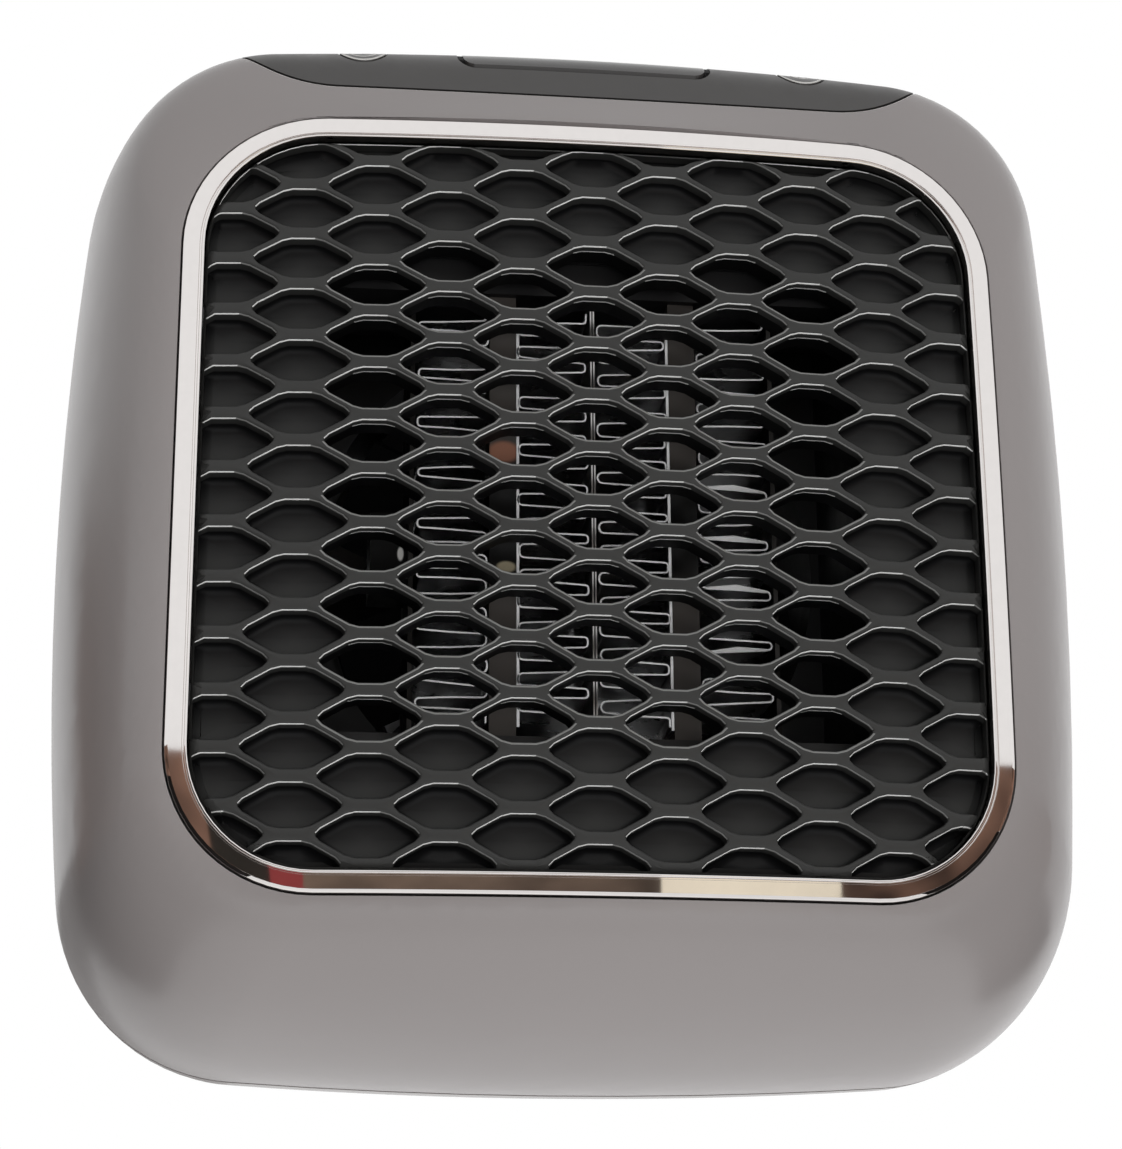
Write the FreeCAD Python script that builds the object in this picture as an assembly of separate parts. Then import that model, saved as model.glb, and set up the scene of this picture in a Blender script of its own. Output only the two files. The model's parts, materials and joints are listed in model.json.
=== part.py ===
import FreeCAD
import Part
import math
import os

# Plug-in fan heater. Millimetres, +Z up, the front faces -Y.
# The origin is the centre of the plug face that meets the wall socket.
# Depths named "s" or ending in "_s" run backwards from the middle of the grille's front.

os.makedirs("parts", exist_ok=True)
V = FreeCAD.Vector

# Fits and gaps
touch_gap = 0.02
slide_gap = 0.3
trim_gap = 0.15
seam_gap = 1.0
shaft_gap = 0.03
turret_gap = 0.05

# Case
total_depth = 82.0
half_width = 60.4
half_height = 60.2
wall = 2.2
lip_s = 2.9
seam_s = 37.4
lip_length = 2.5
back_gap = 8.0
side_bow = 4.4
top_bow = 5.2
bottom_bow = 3.1
flat_radius = 1640.0
corner_top = 20.0
corner_bottom = 21.7
shoulder_r = 6.6
top_rise = 0.7
facet_step = 0.58
facet_angle = 65.0
rear_edge = 1.4
rear_round = 26.0
rear_corner_share = 0.35
side_radius = half_height ** 2 / (2 * side_bow)
top_radius = half_width ** 2 / (2 * top_bow)
bottom_radius = half_width ** 2 / (2 * bottom_bow)
back_s = total_depth - back_gap
rear_length = back_s - seam_s + rear_edge

# Grille, ring and their seat in the front shell
dome_r_x = 398.0
dome_r_z = 578.0
dome_z = -0.8
dome_half = 70.0
dome_back_s = 20.0
bezel_side = 14.2
bezel_top = 14.35
bezel_low = 16.55
ring_corner = 16.0
ring_width = 2.45
ring_proud = 0.3
ring_bevel = 0.5
seat_s = 8.5
seat_width = 3.2
seat_thick = 2.0
skirt_thick = 1.8
grille_thick = 4.6
pocket_depth = 3.2
grille_rim = 1.8
cell_pitch_x = 8.2
cell_pitch_z = 6.24
cell_half_x = 5.4
cell_point_x = 6.1
cell_flat_x = 1.85
cell_half_z = 2.38
open_columns = 3
open_lift = 0.5
ring_half_x = half_width - bezel_side
ring_half_z = half_height - (bezel_top + bezel_low) / 2
ring_z = (bezel_low - bezel_top) / 2

# Shoulder of the top: the facet starts at the ring and runs into the round shoulder
lean = math.radians(facet_angle)
shoulder_z = half_height - top_rise - shoulder_r
facet_rise = shoulder_z + shoulder_r * math.cos(lean) - ring_z - ring_half_z - facet_step
shoulder_s = lip_s + facet_rise / math.tan(lean) + shoulder_r * math.sin(lean)

# Top panel, display and buttons
panel_thick = 1.9
bed_thick = 1.9
bed_margin = 3.0
panel_gap = 0.25
panel_drop = 8.7
panel_side = 18.9
panel_bend_x = 12.5
panel_bend_r = 14.6
panel_back_s = 33.0
panel_corner = 8.0
control_tilt = 28.0
lens_half_x = 14.4
lens_front_u = -3.5
lens_back_u = 4.5
lens_corner = 1.5
lens_gap = 0.7
lens_seat = 1.0
button_in = 15.3
button_u = -0.8
button_r = 2.7
button_flange_r = 3.6
button_flange_n = -4.2
button_flange_thick = 1.0
button_stem_r = 1.2
button_travel = 0.6
button_stem_n = -6.6
switch_size = 6.0
switch_gap = 0.1
switch_knob_r = 1.5
switch_knob = 0.6
board_n = -9.5
board_thick = 1.6
board_margin = 4.0
board_front_u = -4.2
board_back_u = 8.5
display_half_x = 13.0
display_front_u = -2.0
display_back_u = 3.0
display_top_n = -4.5
post_in = 9.5
post_u = 5.0
post_r = 2.6
post_bite = 3.0
panel_edge_z = half_height - panel_drop
panel_half_x = half_width - panel_side
panel_flat_x = panel_half_x - panel_bend_x
button_x = panel_half_x - button_in
post_x = panel_half_x - post_in
board_half_x = post_x + board_margin

# Screws: shank radius, head radius, head height
small_screw_r = 1.25
small_head_r = 2.2
small_head = 1.6
small_bite = 4.0
case_screw_r = 1.5
case_head_r = 3.0
case_head = 2.4
case_bite = 12.0
hole_extra = 0.2

# Case bosses
boss_in_x = 20.4
boss_in_z = 20.2
boss_r = 4.0
boss_short = 1.4
head_seat = 6.0
boss_x = half_width - boss_in_x
boss_z = half_height - boss_in_z
boss_end_s = seam_s - boss_short
head_seat_s = boss_end_s + head_seat

# Heating element
heater_x = 0.6
heater_drop = 0.1
heater_front_s = 8.5
heater_depth = 12.0
fin_width = 8.5
fin_sheet = 0.25
fin_pitch = 2.4
tube_width = 3.0
divider_width = 0.6
end_width = 0.5
clip_height = 4.0
clip_bite = 1.0
tube_bite = 2.0
terminal_length = 6.0
terminal_height = 5.0
terminal_thick = 0.8
cutout_size_x = 4.2
cutout_size_s = 7.0
cutout_size_z = 9.0
cutout_s = 10.0
cutout_drop = 4.5

# Duct and fan
duct_in_x = 15.2
duct_in_z = 14.75
duct_wall = 1.6
duct_front_s = 7.2
duct_plate_corner = 12.0
duct_plate_thick = 2.0
duct_screw_z = 22.0
fan_flange_width = 3.5
fan_flange_thick = 2.0
fan_screw_out = 0.5
shroud_wall = 2.2
shroud_depth = 16.0
arm_width = 4.0
arm_count = 4
motor_r = 12.0
motor_length = 12.0
motor_boss_r = 3.0
motor_boss = 1.5
motor_clear = 0.5
cup_wall = 2.0
cup_depth = 8.0
shaft_r = 1.0
shaft_short = 1.0
hub_r = 9.0
hub_in = 3.0
hub_length = 10.0
hub_edge = 2.0
blade_count = 7
blade_clear = 1.7
blade_chord = 14.0
blade_thick = 1.4
blade_pitch = 38.0

# Power board
power_board_in = 22.0
power_half_x = 34.0
power_height = 16.0
power_clear = 2.8
power_post_in_x = 4.0
power_post_in_z = 3.0
power_post_r = 3.0
relay_x = -17.0
relay_size = (19.0, 15.0, 15.0)
capacitor_x = 6.0
capacitor_r = 5.0
capacitor_length = 14.0
fuse_x = 22.0
fuse_r = 4.2
fuse_length = 8.0

# Turning plug
turret_r = 22.0
turret_length = 16.5
turret_nose = 4.0
turret_nose_r = 19.0
turret_cavity_r = 18.0
turret_face = 5.0
turret_edge = 1.0
turret_flange_r = 24.5
turret_flange = 2.0
collar_wall = 3.0
collar_play = 0.5
retainer_r = 25.0
retainer_hole_r = 16.0
retainer_thick = 2.0
retainer_screw_r = 20.0
retainer_screws = 3
pin_r = 2.4
pin_length = 19.0
pin_spacing = 19.0
pin_neck_r = 2.1
pin_neck = 0.6
pin_tail = 10.0
contact_clear = 0.3
contact_plate_thick = 1.6
contact_margin = 3.5
contact_half_z = 7.0
contact_post_clear = 1.5
contact_post_r = 3.0
ring_thick = 0.4
outer_ring_r = 11.0
inner_ring_r = 6.0
ring_band = 2.0
wiper_gap = 0.1
wiper_half_z = 1.2
wiper_thick = 0.8

# Rear intake slots
slot_count = 24
slot_clear = 2.95
slot_length = 10.0
slot_width = 3.0
post_clear_deg = 20.0

# Depths, counted from the plug face forwards
turret_front_s = total_depth - turret_length
turret_step_s = total_depth - turret_nose
collar_front_s = turret_front_s + collar_play
pin_tail_s = total_depth - pin_tail
ring_front_s = turret_front_s - retainer_thick - small_head - contact_clear
contact_plate_s = ring_front_s - contact_plate_thick
shaft_back_s = contact_plate_s - motor_clear - 2 * motor_boss
motor_back_s = shaft_back_s + motor_boss
shroud_back_s = motor_back_s - motor_length
duct_back_s = shroud_back_s - shroud_depth
cup_back_s = shroud_back_s + cup_depth
hub_front_s = duct_back_s + hub_in
shaft_front_s = hub_front_s + shaft_short
power_board_s = back_s - power_board_in

# Sizes that follow the ring, from the outside inwards
heater_z = ring_z - heater_drop
duct_half_x = ring_half_x - duct_in_x
duct_half_z = ring_half_z - duct_in_z
duct_screw_x = ring_half_x - ring_width
fan_flange_half_x = duct_half_x + duct_wall + fan_flange_width
fan_flange_half_z = duct_half_z + duct_wall + fan_flange_width
fan_screw_x = duct_half_x + duct_wall + fan_screw_out
fan_screw_z = duct_half_z + duct_wall + fan_screw_out
shroud_r = min(duct_half_x, duct_half_z)
blade_tip_r = shroud_r - blade_clear
clip_low_z = duct_half_z - clip_height
plate_half_z = clip_low_z + clip_bite
tube_half_z = clip_low_z + tube_bite
fin_folds = int(2 * clip_low_z / fin_pitch)
open_low_z = heater_z - plate_half_z + open_lift
open_high_z = heater_z + plate_half_z + open_lift
power_high_z = heater_z - shroud_r - shroud_wall - power_clear
power_low_z = power_high_z - power_height
power_post_x = power_half_x - power_post_in_x
power_post_z = (power_low_z + power_post_in_z, power_high_z - power_post_in_z)
part_z = (power_low_z + power_high_z) / 2
contact_post_x = retainer_r + contact_post_clear + contact_post_r
contact_half_x = contact_post_x + contact_margin
slot_in_r = turret_r + turret_gap + collar_wall + slot_clear
slot_out_r = slot_in_r + slot_length


def y_of(s):
    return s - total_depth


def box(x1, x2, s1, s2, z1, z2):
    return Part.makeBox(x2 - x1, s2 - s1, z2 - z1, V(x1, y_of(s1), z1))


def rod(x, z, radius, s1, s2):
    return Part.makeCylinder(radius, s2 - s1, V(x, y_of(s1), z), V(0, 1, 0))


def rounded_prism(half_x, half_z, radius, z_mid, s1, s2):
    """Rounded rectangle seen from the front, drawn out backwards."""
    block = box(-half_x, half_x, s1, s2, z_mid - half_z, z_mid + half_z)
    long_edges = [e for e in block.Edges if abs(e.Vertexes[0].Y - e.Vertexes[1].Y) > touch_gap]
    return block.makeFillet(radius, long_edges)


# Case outline: four gently bowed sides joined by round corners

def corner_circle(side_mid, side_r, end_mid, end_r, radius, up):
    """Centre of the corner circle that touches both arcs from inside, and the two touch points."""
    to_end = end_mid.sub(side_mid)
    gap = to_end.Length
    r1 = side_r - radius
    r2 = end_r - radius
    along = (r1 ** 2 - r2 ** 2 + gap ** 2) / (2 * gap)
    across = math.sqrt(r1 ** 2 - along ** 2)
    unit = to_end.multiply(1.0 / gap)
    normal = V(-unit.z, 0, unit.x)
    if normal.z * up < 0:
        normal = normal.multiply(-1)
    mid = side_mid + unit * along + normal * across
    side_point = side_mid + (mid - side_mid).normalize() * side_r
    end_point = end_mid + (mid - end_mid).normalize() * end_r
    return mid, side_point, end_point


def outline(s, half_x, top_z, low_z, r_top, r_low, bend):
    """Closed case outline at depth s; bend 0 has nearly straight sides, 1 the full bow."""
    y = y_of(s)
    bowed = [1.0 / (1.0 / flat_radius + bend * (1.0 / r - 1.0 / flat_radius))
             for r in (side_radius, top_radius, bottom_radius)]
    side_mid = V(half_x - bowed[0], y, 0)
    top_mid = V(0, y, top_z - bowed[1])
    low_mid = V(0, y, low_z + bowed[2])
    c1, a1, b1 = corner_circle(side_mid, bowed[0], top_mid, bowed[1], r_top, 1)
    c2, a2, b2 = corner_circle(side_mid, bowed[0], low_mid, bowed[2], r_low, -1)
    m1 = c1 + V(1, 0, 1).normalize() * r_top
    m2 = c2 + V(1, 0, -1).normalize() * r_low

    def left(p):
        return V(-p.x, p.y, p.z)

    arcs = [(a2, V(half_x, y, 0), a1), (a1, m1, b1), (b1, V(0, y, top_z), left(b1)),
            (left(b1), left(m1), left(a1)), (left(a1), V(-half_x, y, 0), left(a2)),
            (left(a2), left(m2), left(b2)), (left(b2), V(0, y, low_z), b2), (b2, m2, a2)]
    return Part.Wire([Part.Arc(*three).toShape() for three in arcs])


def ease(s, start, length):
    """Quarter ellipse: 0 at start, 1 after length."""
    t = min(1.0, max(0.0, (s - start) / length))
    return math.sqrt(1.0 - (1.0 - t) ** 2)


def top_height(s, inset):
    """Height of the top at depth s: sloped facet, round shoulder, nearly flat top."""
    radius = shoulder_r - inset
    tangent_s = shoulder_s - radius * math.sin(lean)
    if s < tangent_s:
        return shoulder_z + radius * math.cos(lean) + (s - tangent_s) * math.tan(lean)
    if s < shoulder_s:
        return shoulder_z + math.sqrt(radius ** 2 - (shoulder_s - s) ** 2)
    return shoulder_z + radius + top_rise * ease(s, shoulder_s, seam_s - shoulder_s)


def front_outline(s, inset):
    grow = ease(s, lip_s + inset, seam_s - lip_s - inset)
    low = ring_half_z - ring_z
    half_x = ring_half_x + grow * (half_width - inset - ring_half_x)
    low_z = -low - grow * (half_height - inset - low)
    r_top = ring_corner + grow * (corner_top - inset - ring_corner)
    r_low = ring_corner + grow * (corner_bottom - inset - ring_corner)
    return outline(s, half_x, top_height(s, inset), low_z, r_top, r_low, grow)


def front_body(inset, past_seam=0.0):
    """Solid pillow of the front half, moved inwards by inset."""
    first = lip_s + inset
    steps = [0.0, 0.012, 0.04, 0.09, 0.15, 0.2, 0.26, 0.32, 0.4, 0.55, 0.75, 1.0]
    depths = [first + t * (seam_s - first) for t in steps]
    if past_seam:
        depths.append(seam_s + past_seam)
    return Part.makeLoft([front_outline(s, inset) for s in depths], True, False)


def rear_outline(s, inset):
    share = (s - seam_s) / (rear_length - inset)
    pull = inset + rear_round * (1.0 - math.sqrt(1.0 - share ** 2))
    return outline(s, half_width - pull, half_height - pull, pull - half_height,
                   corner_top - rear_corner_share * pull, corner_bottom - rear_corner_share * pull, 1.0)


def rear_body(inset, first, last):
    steps = [0.0, 0.22, 0.42, 0.6, 0.75, 0.87, 0.95, 1.0]
    return Part.makeLoft([rear_outline(first + t * (last - first), inset) for t in steps], True, False)


def seam_band(out_inset, in_inset, s1, s2):
    """Ring that follows the seam outline."""
    faces = []
    for inset in (out_inset, in_inset):
        wire = outline(s1, half_width - inset, half_height - inset, inset - half_height,
                       corner_top - inset, corner_bottom - inset, 1.0)
        faces.append(Part.Face(wire).extrude(V(0, s2 - s1, 0)))
    return faces[0].cut(faces[1])


def dome_body(inset):
    """Everything behind the domed front surface, moved back by inset."""
    radius = dome_r_z - inset
    edge_y = y_of(dome_r_z) - math.sqrt(radius ** 2 - dome_half ** 2)
    low = V(0, edge_y, dome_z - dome_half)
    high = V(0, edge_y, dome_z + dome_half)
    far_high = V(0, y_of(dome_back_s), dome_z + dome_half)
    far_low = V(0, y_of(dome_back_s), dome_z - dome_half)
    arc = Part.Arc(low, V(0, y_of(inset), dome_z), high).toShape()
    lines = [Part.makeLine(high, far_high), Part.makeLine(far_high, far_low), Part.makeLine(far_low, low)]
    face = Part.Face(Part.Wire([arc] + lines))
    axis_point = V(0, y_of(dome_r_x), 0)
    spread = 2 * math.degrees(math.asin(half_width / dome_r_x))
    face.rotate(axis_point, V(0, 0, 1), -spread / 2)
    return face.revolve(axis_point, V(0, 0, 1), spread)


# Control frame: x across, u along the panel towards the back, n out of the panel

control_s = shoulder_s - shoulder_r * math.sin(math.radians(control_tilt))
control_z = shoulder_z + shoulder_r * math.cos(math.radians(control_tilt))


def place(shape):
    shape.Placement = FreeCAD.Placement(V(0, y_of(control_s), control_z),
                                        FreeCAD.Rotation(V(1, 0, 0), control_tilt))
    return shape


def control_box(x1, x2, u1, u2, n1, n2):
    return place(Part.makeBox(x2 - x1, u2 - u1, n2 - n1, V(x1, u1, n1)))


def control_rod(x, u, radius, n1, n2):
    return place(Part.makeCylinder(radius, n2 - n1, V(x, u, n1), V(0, 0, 1)))


def lens_prism(grow, n1, n2):
    block = Part.makeBox(2 * (lens_half_x + grow), lens_back_u - lens_front_u + 2 * grow, n2 - n1,
                         V(-lens_half_x - grow, lens_front_u - grow, n1))
    upright = [e for e in block.Edges if abs(e.Vertexes[0].Z - e.Vertexes[1].Z) > touch_gap]
    return place(block.makeFillet(lens_corner + max(grow, -lens_seat / 2), upright))


def panel_zone(grow):
    """Space above the panel's lower edge line, with rounded rear corners."""
    y1 = y_of(-lip_s)
    radius = panel_bend_r + grow
    end_x = panel_half_x + grow
    angle = math.asin((end_x - panel_flat_x) / radius)
    mid_z = panel_edge_z + panel_bend_r
    high = half_height + panel_corner

    def at(turn, side):
        return V(side * (panel_flat_x + radius * math.sin(turn)), y1, mid_z - radius * math.cos(turn))

    right = Part.Arc(at(0, 1), at(angle / 2, 1), at(angle, 1)).toShape()
    left = Part.Arc(at(angle, -1), at(angle / 2, -1), at(0, -1)).toShape()
    roof = Part.makePolygon([at(angle, 1), V(end_x, y1, high), V(-end_x, y1, high), at(angle, -1)])
    base = Part.makeLine(at(0, -1), at(0, 1))
    face = Part.Face(Part.Wire([right] + roof.Edges + [left, base]))
    depth = panel_back_s + lip_s + grow
    zone = face.extrude(V(0, depth, 0))
    rear = [e for e in zone.Edges if abs(e.Vertexes[0].Z - e.Vertexes[-1].Z) > touch_gap
            and e.BoundBox.XLength < touch_gap and e.BoundBox.YMin > y1 + depth - touch_gap]
    return zone.makeFillet(panel_corner + grow, rear)


def skin(outer_inset, inner_inset):
    return front_body(outer_inset).cut(front_body(inner_inset, wall))


# Front of the case

def four(x, z):
    return [(sx * x, sz * z) for sx in (-1, 1) for sz in (-1, 1)]


def front_shell():
    outer = front_body(0.0)
    shell = outer.cut(front_body(wall, wall))
    open_x = ring_half_x + trim_gap
    open_z = ring_half_z + trim_gap
    open_r = ring_corner + trim_gap
    seat_back = seat_s + seat_thick
    skirt = rounded_prism(open_x + skirt_thick, open_z + skirt_thick, open_r + skirt_thick, ring_z,
                          lip_s, seat_back).common(outer)
    inner_x = ring_half_x - ring_width - seat_width
    inner_z = ring_half_z - ring_width - seat_width
    seat_hole = rounded_prism(inner_x, inner_z, ring_corner - ring_width - seat_width, ring_z,
                              0, seat_back + wall)
    bed = front_body(panel_thick).cut(front_body(panel_thick + bed_thick, wall))
    bed_back_s = seam_s - lip_length - slide_gap
    bed_room = box(-half_width, half_width, 0, bed_back_s, 0, half_height)
    bed = bed.common(panel_zone(bed_margin)).common(bed_room)
    posts = [control_rod(sx * post_x, post_u, post_r, board_n, 0).common(front_body(panel_thick + wall / 4))
             for sx in (-1, 1)]
    bosses = [rod(x, z, boss_r, seat_s + seat_thick / 2, boss_end_s) for x, z in four(boss_x, boss_z)]
    shell = shell.fuse([skirt, bed] + posts + bosses)
    shell = shell.cut(rounded_prism(open_x, open_z, open_r, ring_z, -lip_s, seat_s))
    shell = shell.cut(seat_hole)
    recess = panel_zone(panel_gap).common(skin(0.0, panel_thick))
    tools = [recess, lens_prism(-lens_seat, board_n, wall)]
    for sx in (-1, 1):
        tools.append(control_rod(sx * button_x, button_u, button_flange_r + 2 * slide_gap, board_n, wall))
        tools.append(control_rod(sx * post_x, post_u, small_screw_r, board_n, board_n + post_bite))
    for x, z in four(boss_x, boss_z):
        tools.append(rod(x, z, case_screw_r, boss_end_s - case_bite, boss_end_s))
    for x, z in four(duct_screw_x, duct_screw_z):
        tools.append(rod(x, z + heater_z, small_screw_r, seat_s, seat_back))
    return shell.cut(tools).removeSplitter()


def chrome_ring():
    inner = rounded_prism(ring_half_x - ring_width, ring_half_z - ring_width, ring_corner - ring_width,
                          ring_z, -lip_s, seat_s)
    band = rounded_prism(ring_half_x, ring_half_z, ring_corner, ring_z, -lip_s, seat_s).cut(inner)
    band = band.common(dome_body(-ring_proud))
    front = [e for e in band.Edges if e.BoundBox.YMax < y_of(seat_s - ring_bevel)
             and e.BoundBox.XLength + e.BoundBox.ZLength > ring_width]
    return band.makeChamfer(ring_bevel, front)


def cell_prism(x, z):
    blunt_z = cell_half_z * (cell_point_x - cell_half_x) / (cell_point_x - cell_flat_x)
    right = [(cell_half_x, -blunt_z), (cell_half_x, blunt_z), (cell_flat_x, cell_half_z)]
    left = [(-cell_flat_x, cell_half_z), (-cell_half_x, blunt_z), (-cell_half_x, -blunt_z)]
    low = [(-cell_flat_x, -cell_half_z), (cell_flat_x, -cell_half_z)]
    points = [V(x + dx, y_of(-lip_s), z + dz) for dx, dz in right + left + low]
    return Part.Face(Part.makePolygon(points + points[:1])).extrude(V(0, lip_s + seat_s, 0))


def grille_cells():
    """Open cells and blind cells as two lists of cutting prisms."""
    opened = []
    blind = []
    columns = int((ring_half_x - ring_width + cell_half_x) / cell_pitch_x)
    rows = int((ring_half_z + abs(ring_z)) / cell_pitch_z) + 1
    for i in range(-columns, columns + 1):
        for n in range(-rows, rows + 1):
            z = cell_pitch_z * (n + (0.5 if i % 2 == 0 else 0.0))
            if abs(z - ring_z) > ring_half_z - ring_width + cell_half_z:
                continue
            is_open = abs(i) <= open_columns and open_low_z < z < open_high_z
            (opened if is_open else blind).append(cell_prism(i * cell_pitch_x, z))
    return opened, blind


def front_grille():
    half_x = ring_half_x - ring_width - trim_gap
    half_z = ring_half_z - ring_width - trim_gap
    corner = ring_corner - ring_width - trim_gap
    block = rounded_prism(half_x, half_z, corner, ring_z, -lip_s, seat_s).common(dome_body(0.0))
    hollow = rounded_prism(half_x - grille_rim, half_z - grille_rim, corner - grille_rim, ring_z,
                           -lip_s, seat_s).common(dome_body(grille_thick))
    opened, blind = grille_cells()
    pockets = Part.makeCompound(blind).cut(dome_body(pocket_depth))
    return block.cut(hollow).cut(Part.makeCompound(opened)).cut(pockets)


# Controls

def top_panel():
    panel = skin(0.0, panel_thick).common(panel_zone(0.0))
    tools = [lens_prism(lens_gap, board_n, wall)]
    for sx in (-1, 1):
        tools.append(control_rod(sx * button_x, button_u, button_r + slide_gap, board_n, wall))
    return panel.cut(tools)


def display_lens():
    return skin(0.0, panel_thick).common(lens_prism(0.0, board_n, wall))


def display_module():
    return control_box(-display_half_x, display_half_x, display_front_u, display_back_u,
                       board_n, display_top_n)


def button(x):
    cap = control_rod(x, button_u, button_r, button_flange_n, wall).common(front_body(0.0))
    low = button_flange_n - button_flange_thick
    flange = control_rod(x, button_u, button_flange_r, low, button_flange_n)
    stem = control_rod(x, button_u, button_stem_r, button_stem_n, low)
    return cap.fuse([flange, stem]).removeSplitter()


def push_switch(x):
    top = button_stem_n - button_travel - switch_gap
    half = switch_size / 2
    body = control_box(x - half, x + half, button_u - half, button_u + half, board_n, top - switch_knob)
    return body.fuse(control_rod(x, button_u, switch_knob_r, top - switch_knob, top)).removeSplitter()


def control_board():
    board = control_box(-board_half_x, board_half_x, board_front_u, board_back_u,
                        board_n - board_thick, board_n)
    holes = [control_rod(sx * post_x, post_u, small_screw_r + hole_extra, board_n - board_thick, board_n)
             for sx in (-1, 1)]
    return board.cut(holes)


def control_screws():
    low = board_n - board_thick
    screws = []
    for sx in (-1, 1):
        head = control_rod(sx * post_x, post_u, small_head_r, low - small_head, low)
        shank = control_rod(sx * post_x, post_u, small_screw_r, low, board_n + post_bite)
        screws.append(head.fuse(shank).removeSplitter())
    return Part.makeCompound(screws)


# Heating element, from the middle outwards: divider, fins, tube, fins, end plate

tube_x = divider_width / 2 + fin_width + tube_width / 2
fin_in_x = divider_width / 2 + fin_width / 2
fin_out_x = tube_x + tube_width / 2 + fin_width / 2
end_x = tube_x + tube_width / 2 + fin_width + end_width / 2
heater_back_s = heater_front_s + heater_depth


def heater_bar(x, width, half_z):
    mid = heater_x + x
    return box(mid - width / 2, mid + width / 2, heater_front_s, heater_back_s,
               heater_z - half_z, heater_z + half_z)


def fin_strip(x):
    """Folded sheet: straight runs joined by half-circle bends, drawn out backwards."""
    bend_r = fin_pitch / 4
    reach = fin_width / 2 - bend_r - fin_sheet / 2 - touch_gap
    runs = 2 * fin_folds
    low = heater_z - fin_pitch * fin_folds / 2 + bend_r
    mid = heater_x + x
    y = y_of(heater_front_s)

    def side(offset):
        edges = []
        for i in range(runs):
            z = low + 2 * bend_r * i
            way = 1 if i % 2 == 0 else -1
            start = V(mid - way * reach, y, z + way * offset)
            stop = V(mid + way * reach, y, z + way * offset)
            edges.append(Part.makeLine(start, stop))
            if i < runs - 1:
                radius = bend_r - way * offset
                tip = V(mid + way * (reach + radius), y, z + bend_r)
                edges.append(Part.Arc(stop, tip, V(stop.x, y, z + bend_r + radius)).toShape())
        return edges, edges[0].Vertexes[0].Point, edges[-1].Vertexes[-1].Point

    upper, upper_start, upper_stop = side(fin_sheet / 2)
    lower, lower_start, lower_stop = side(-fin_sheet / 2)
    caps = [Part.makeLine(lower_start, upper_start), Part.makeLine(upper_stop, lower_stop)]
    wire = Part.Wire(Part.__sortEdges__(upper + lower + caps))
    return Part.Face(wire).extrude(V(0, heater_depth, 0))


def element_clip(side):
    low = heater_z + side * clip_low_z
    high = heater_z + side * duct_half_z
    clip = box(-duct_half_x, duct_half_x, heater_front_s - seat_thick / 2, heater_back_s + seat_thick / 2,
               min(low, high), max(low, high))
    held = [heater_bar(sx * tube_x, tube_width, tube_half_z) for sx in (-1, 1)]
    held += [heater_bar(sx * end_x, end_width, plate_half_z) for sx in (-1, 1)]
    held.append(heater_bar(0, divider_width, plate_half_z))
    return clip.cut(held)


def heater_terminals():
    tabs = []
    for sx in (-1, 1):
        mid = heater_x + sx * tube_x
        top = heater_z + clip_low_z
        tabs.append(box(mid - terminal_thick / 2, mid + terminal_thick / 2, heater_back_s,
                        heater_back_s + terminal_length, top - 2 * terminal_height, top - terminal_height))
    return Part.makeCompound(tabs)


def thermal_cutout():
    edge = heater_x - end_x - end_width / 2
    return box(edge - cutout_size_x, edge, cutout_s, cutout_s + cutout_size_s,
               heater_z - cutout_drop - cutout_size_z / 2, heater_z - cutout_drop + cutout_size_z / 2)


# Duct and fan

def duct_hole(s1, s2, grow=0.0):
    return box(-duct_half_x - grow, duct_half_x + grow, s1, s2,
               heater_z - duct_half_z - grow, heater_z + duct_half_z + grow)


def heater_duct():
    plate_s = seat_s + seat_thick
    plate = rounded_prism(ring_half_x, ring_half_z, duct_plate_corner, ring_z,
                          plate_s, plate_s + duct_plate_thick)
    flange = box(-fan_flange_half_x, fan_flange_half_x, duct_back_s - fan_flange_thick, duct_back_s,
                 heater_z - fan_flange_half_z, heater_z + fan_flange_half_z)
    duct = duct_hole(duct_front_s, duct_back_s, duct_wall).fuse([plate, flange])
    tools = [duct_hole(duct_front_s, duct_back_s)]
    for x, z in four(boss_x, boss_z):
        tools.append(rod(x, z, boss_r + slide_gap, plate_s, plate_s + duct_plate_thick))
    for x, z in four(duct_screw_x, duct_screw_z):
        tools.append(rod(x, z + heater_z, small_screw_r + hole_extra, plate_s, plate_s + duct_plate_thick))
    for x, z in four(fan_screw_x, fan_screw_z):
        tools.append(rod(x, z + heater_z, small_screw_r, duct_back_s - fan_flange_thick, duct_back_s))
    return duct.cut(tools).removeSplitter()


def back_screws(spots, head_s, bite):
    """Screws driven forwards, with their heads at head_s."""
    screws = []
    for x, z in spots:
        head = rod(x, z + heater_z, small_head_r, head_s, head_s + small_head)
        screws.append(head.fuse(rod(x, z + heater_z, small_screw_r, head_s - bite, head_s)).removeSplitter())
    return Part.makeCompound(screws)


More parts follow.
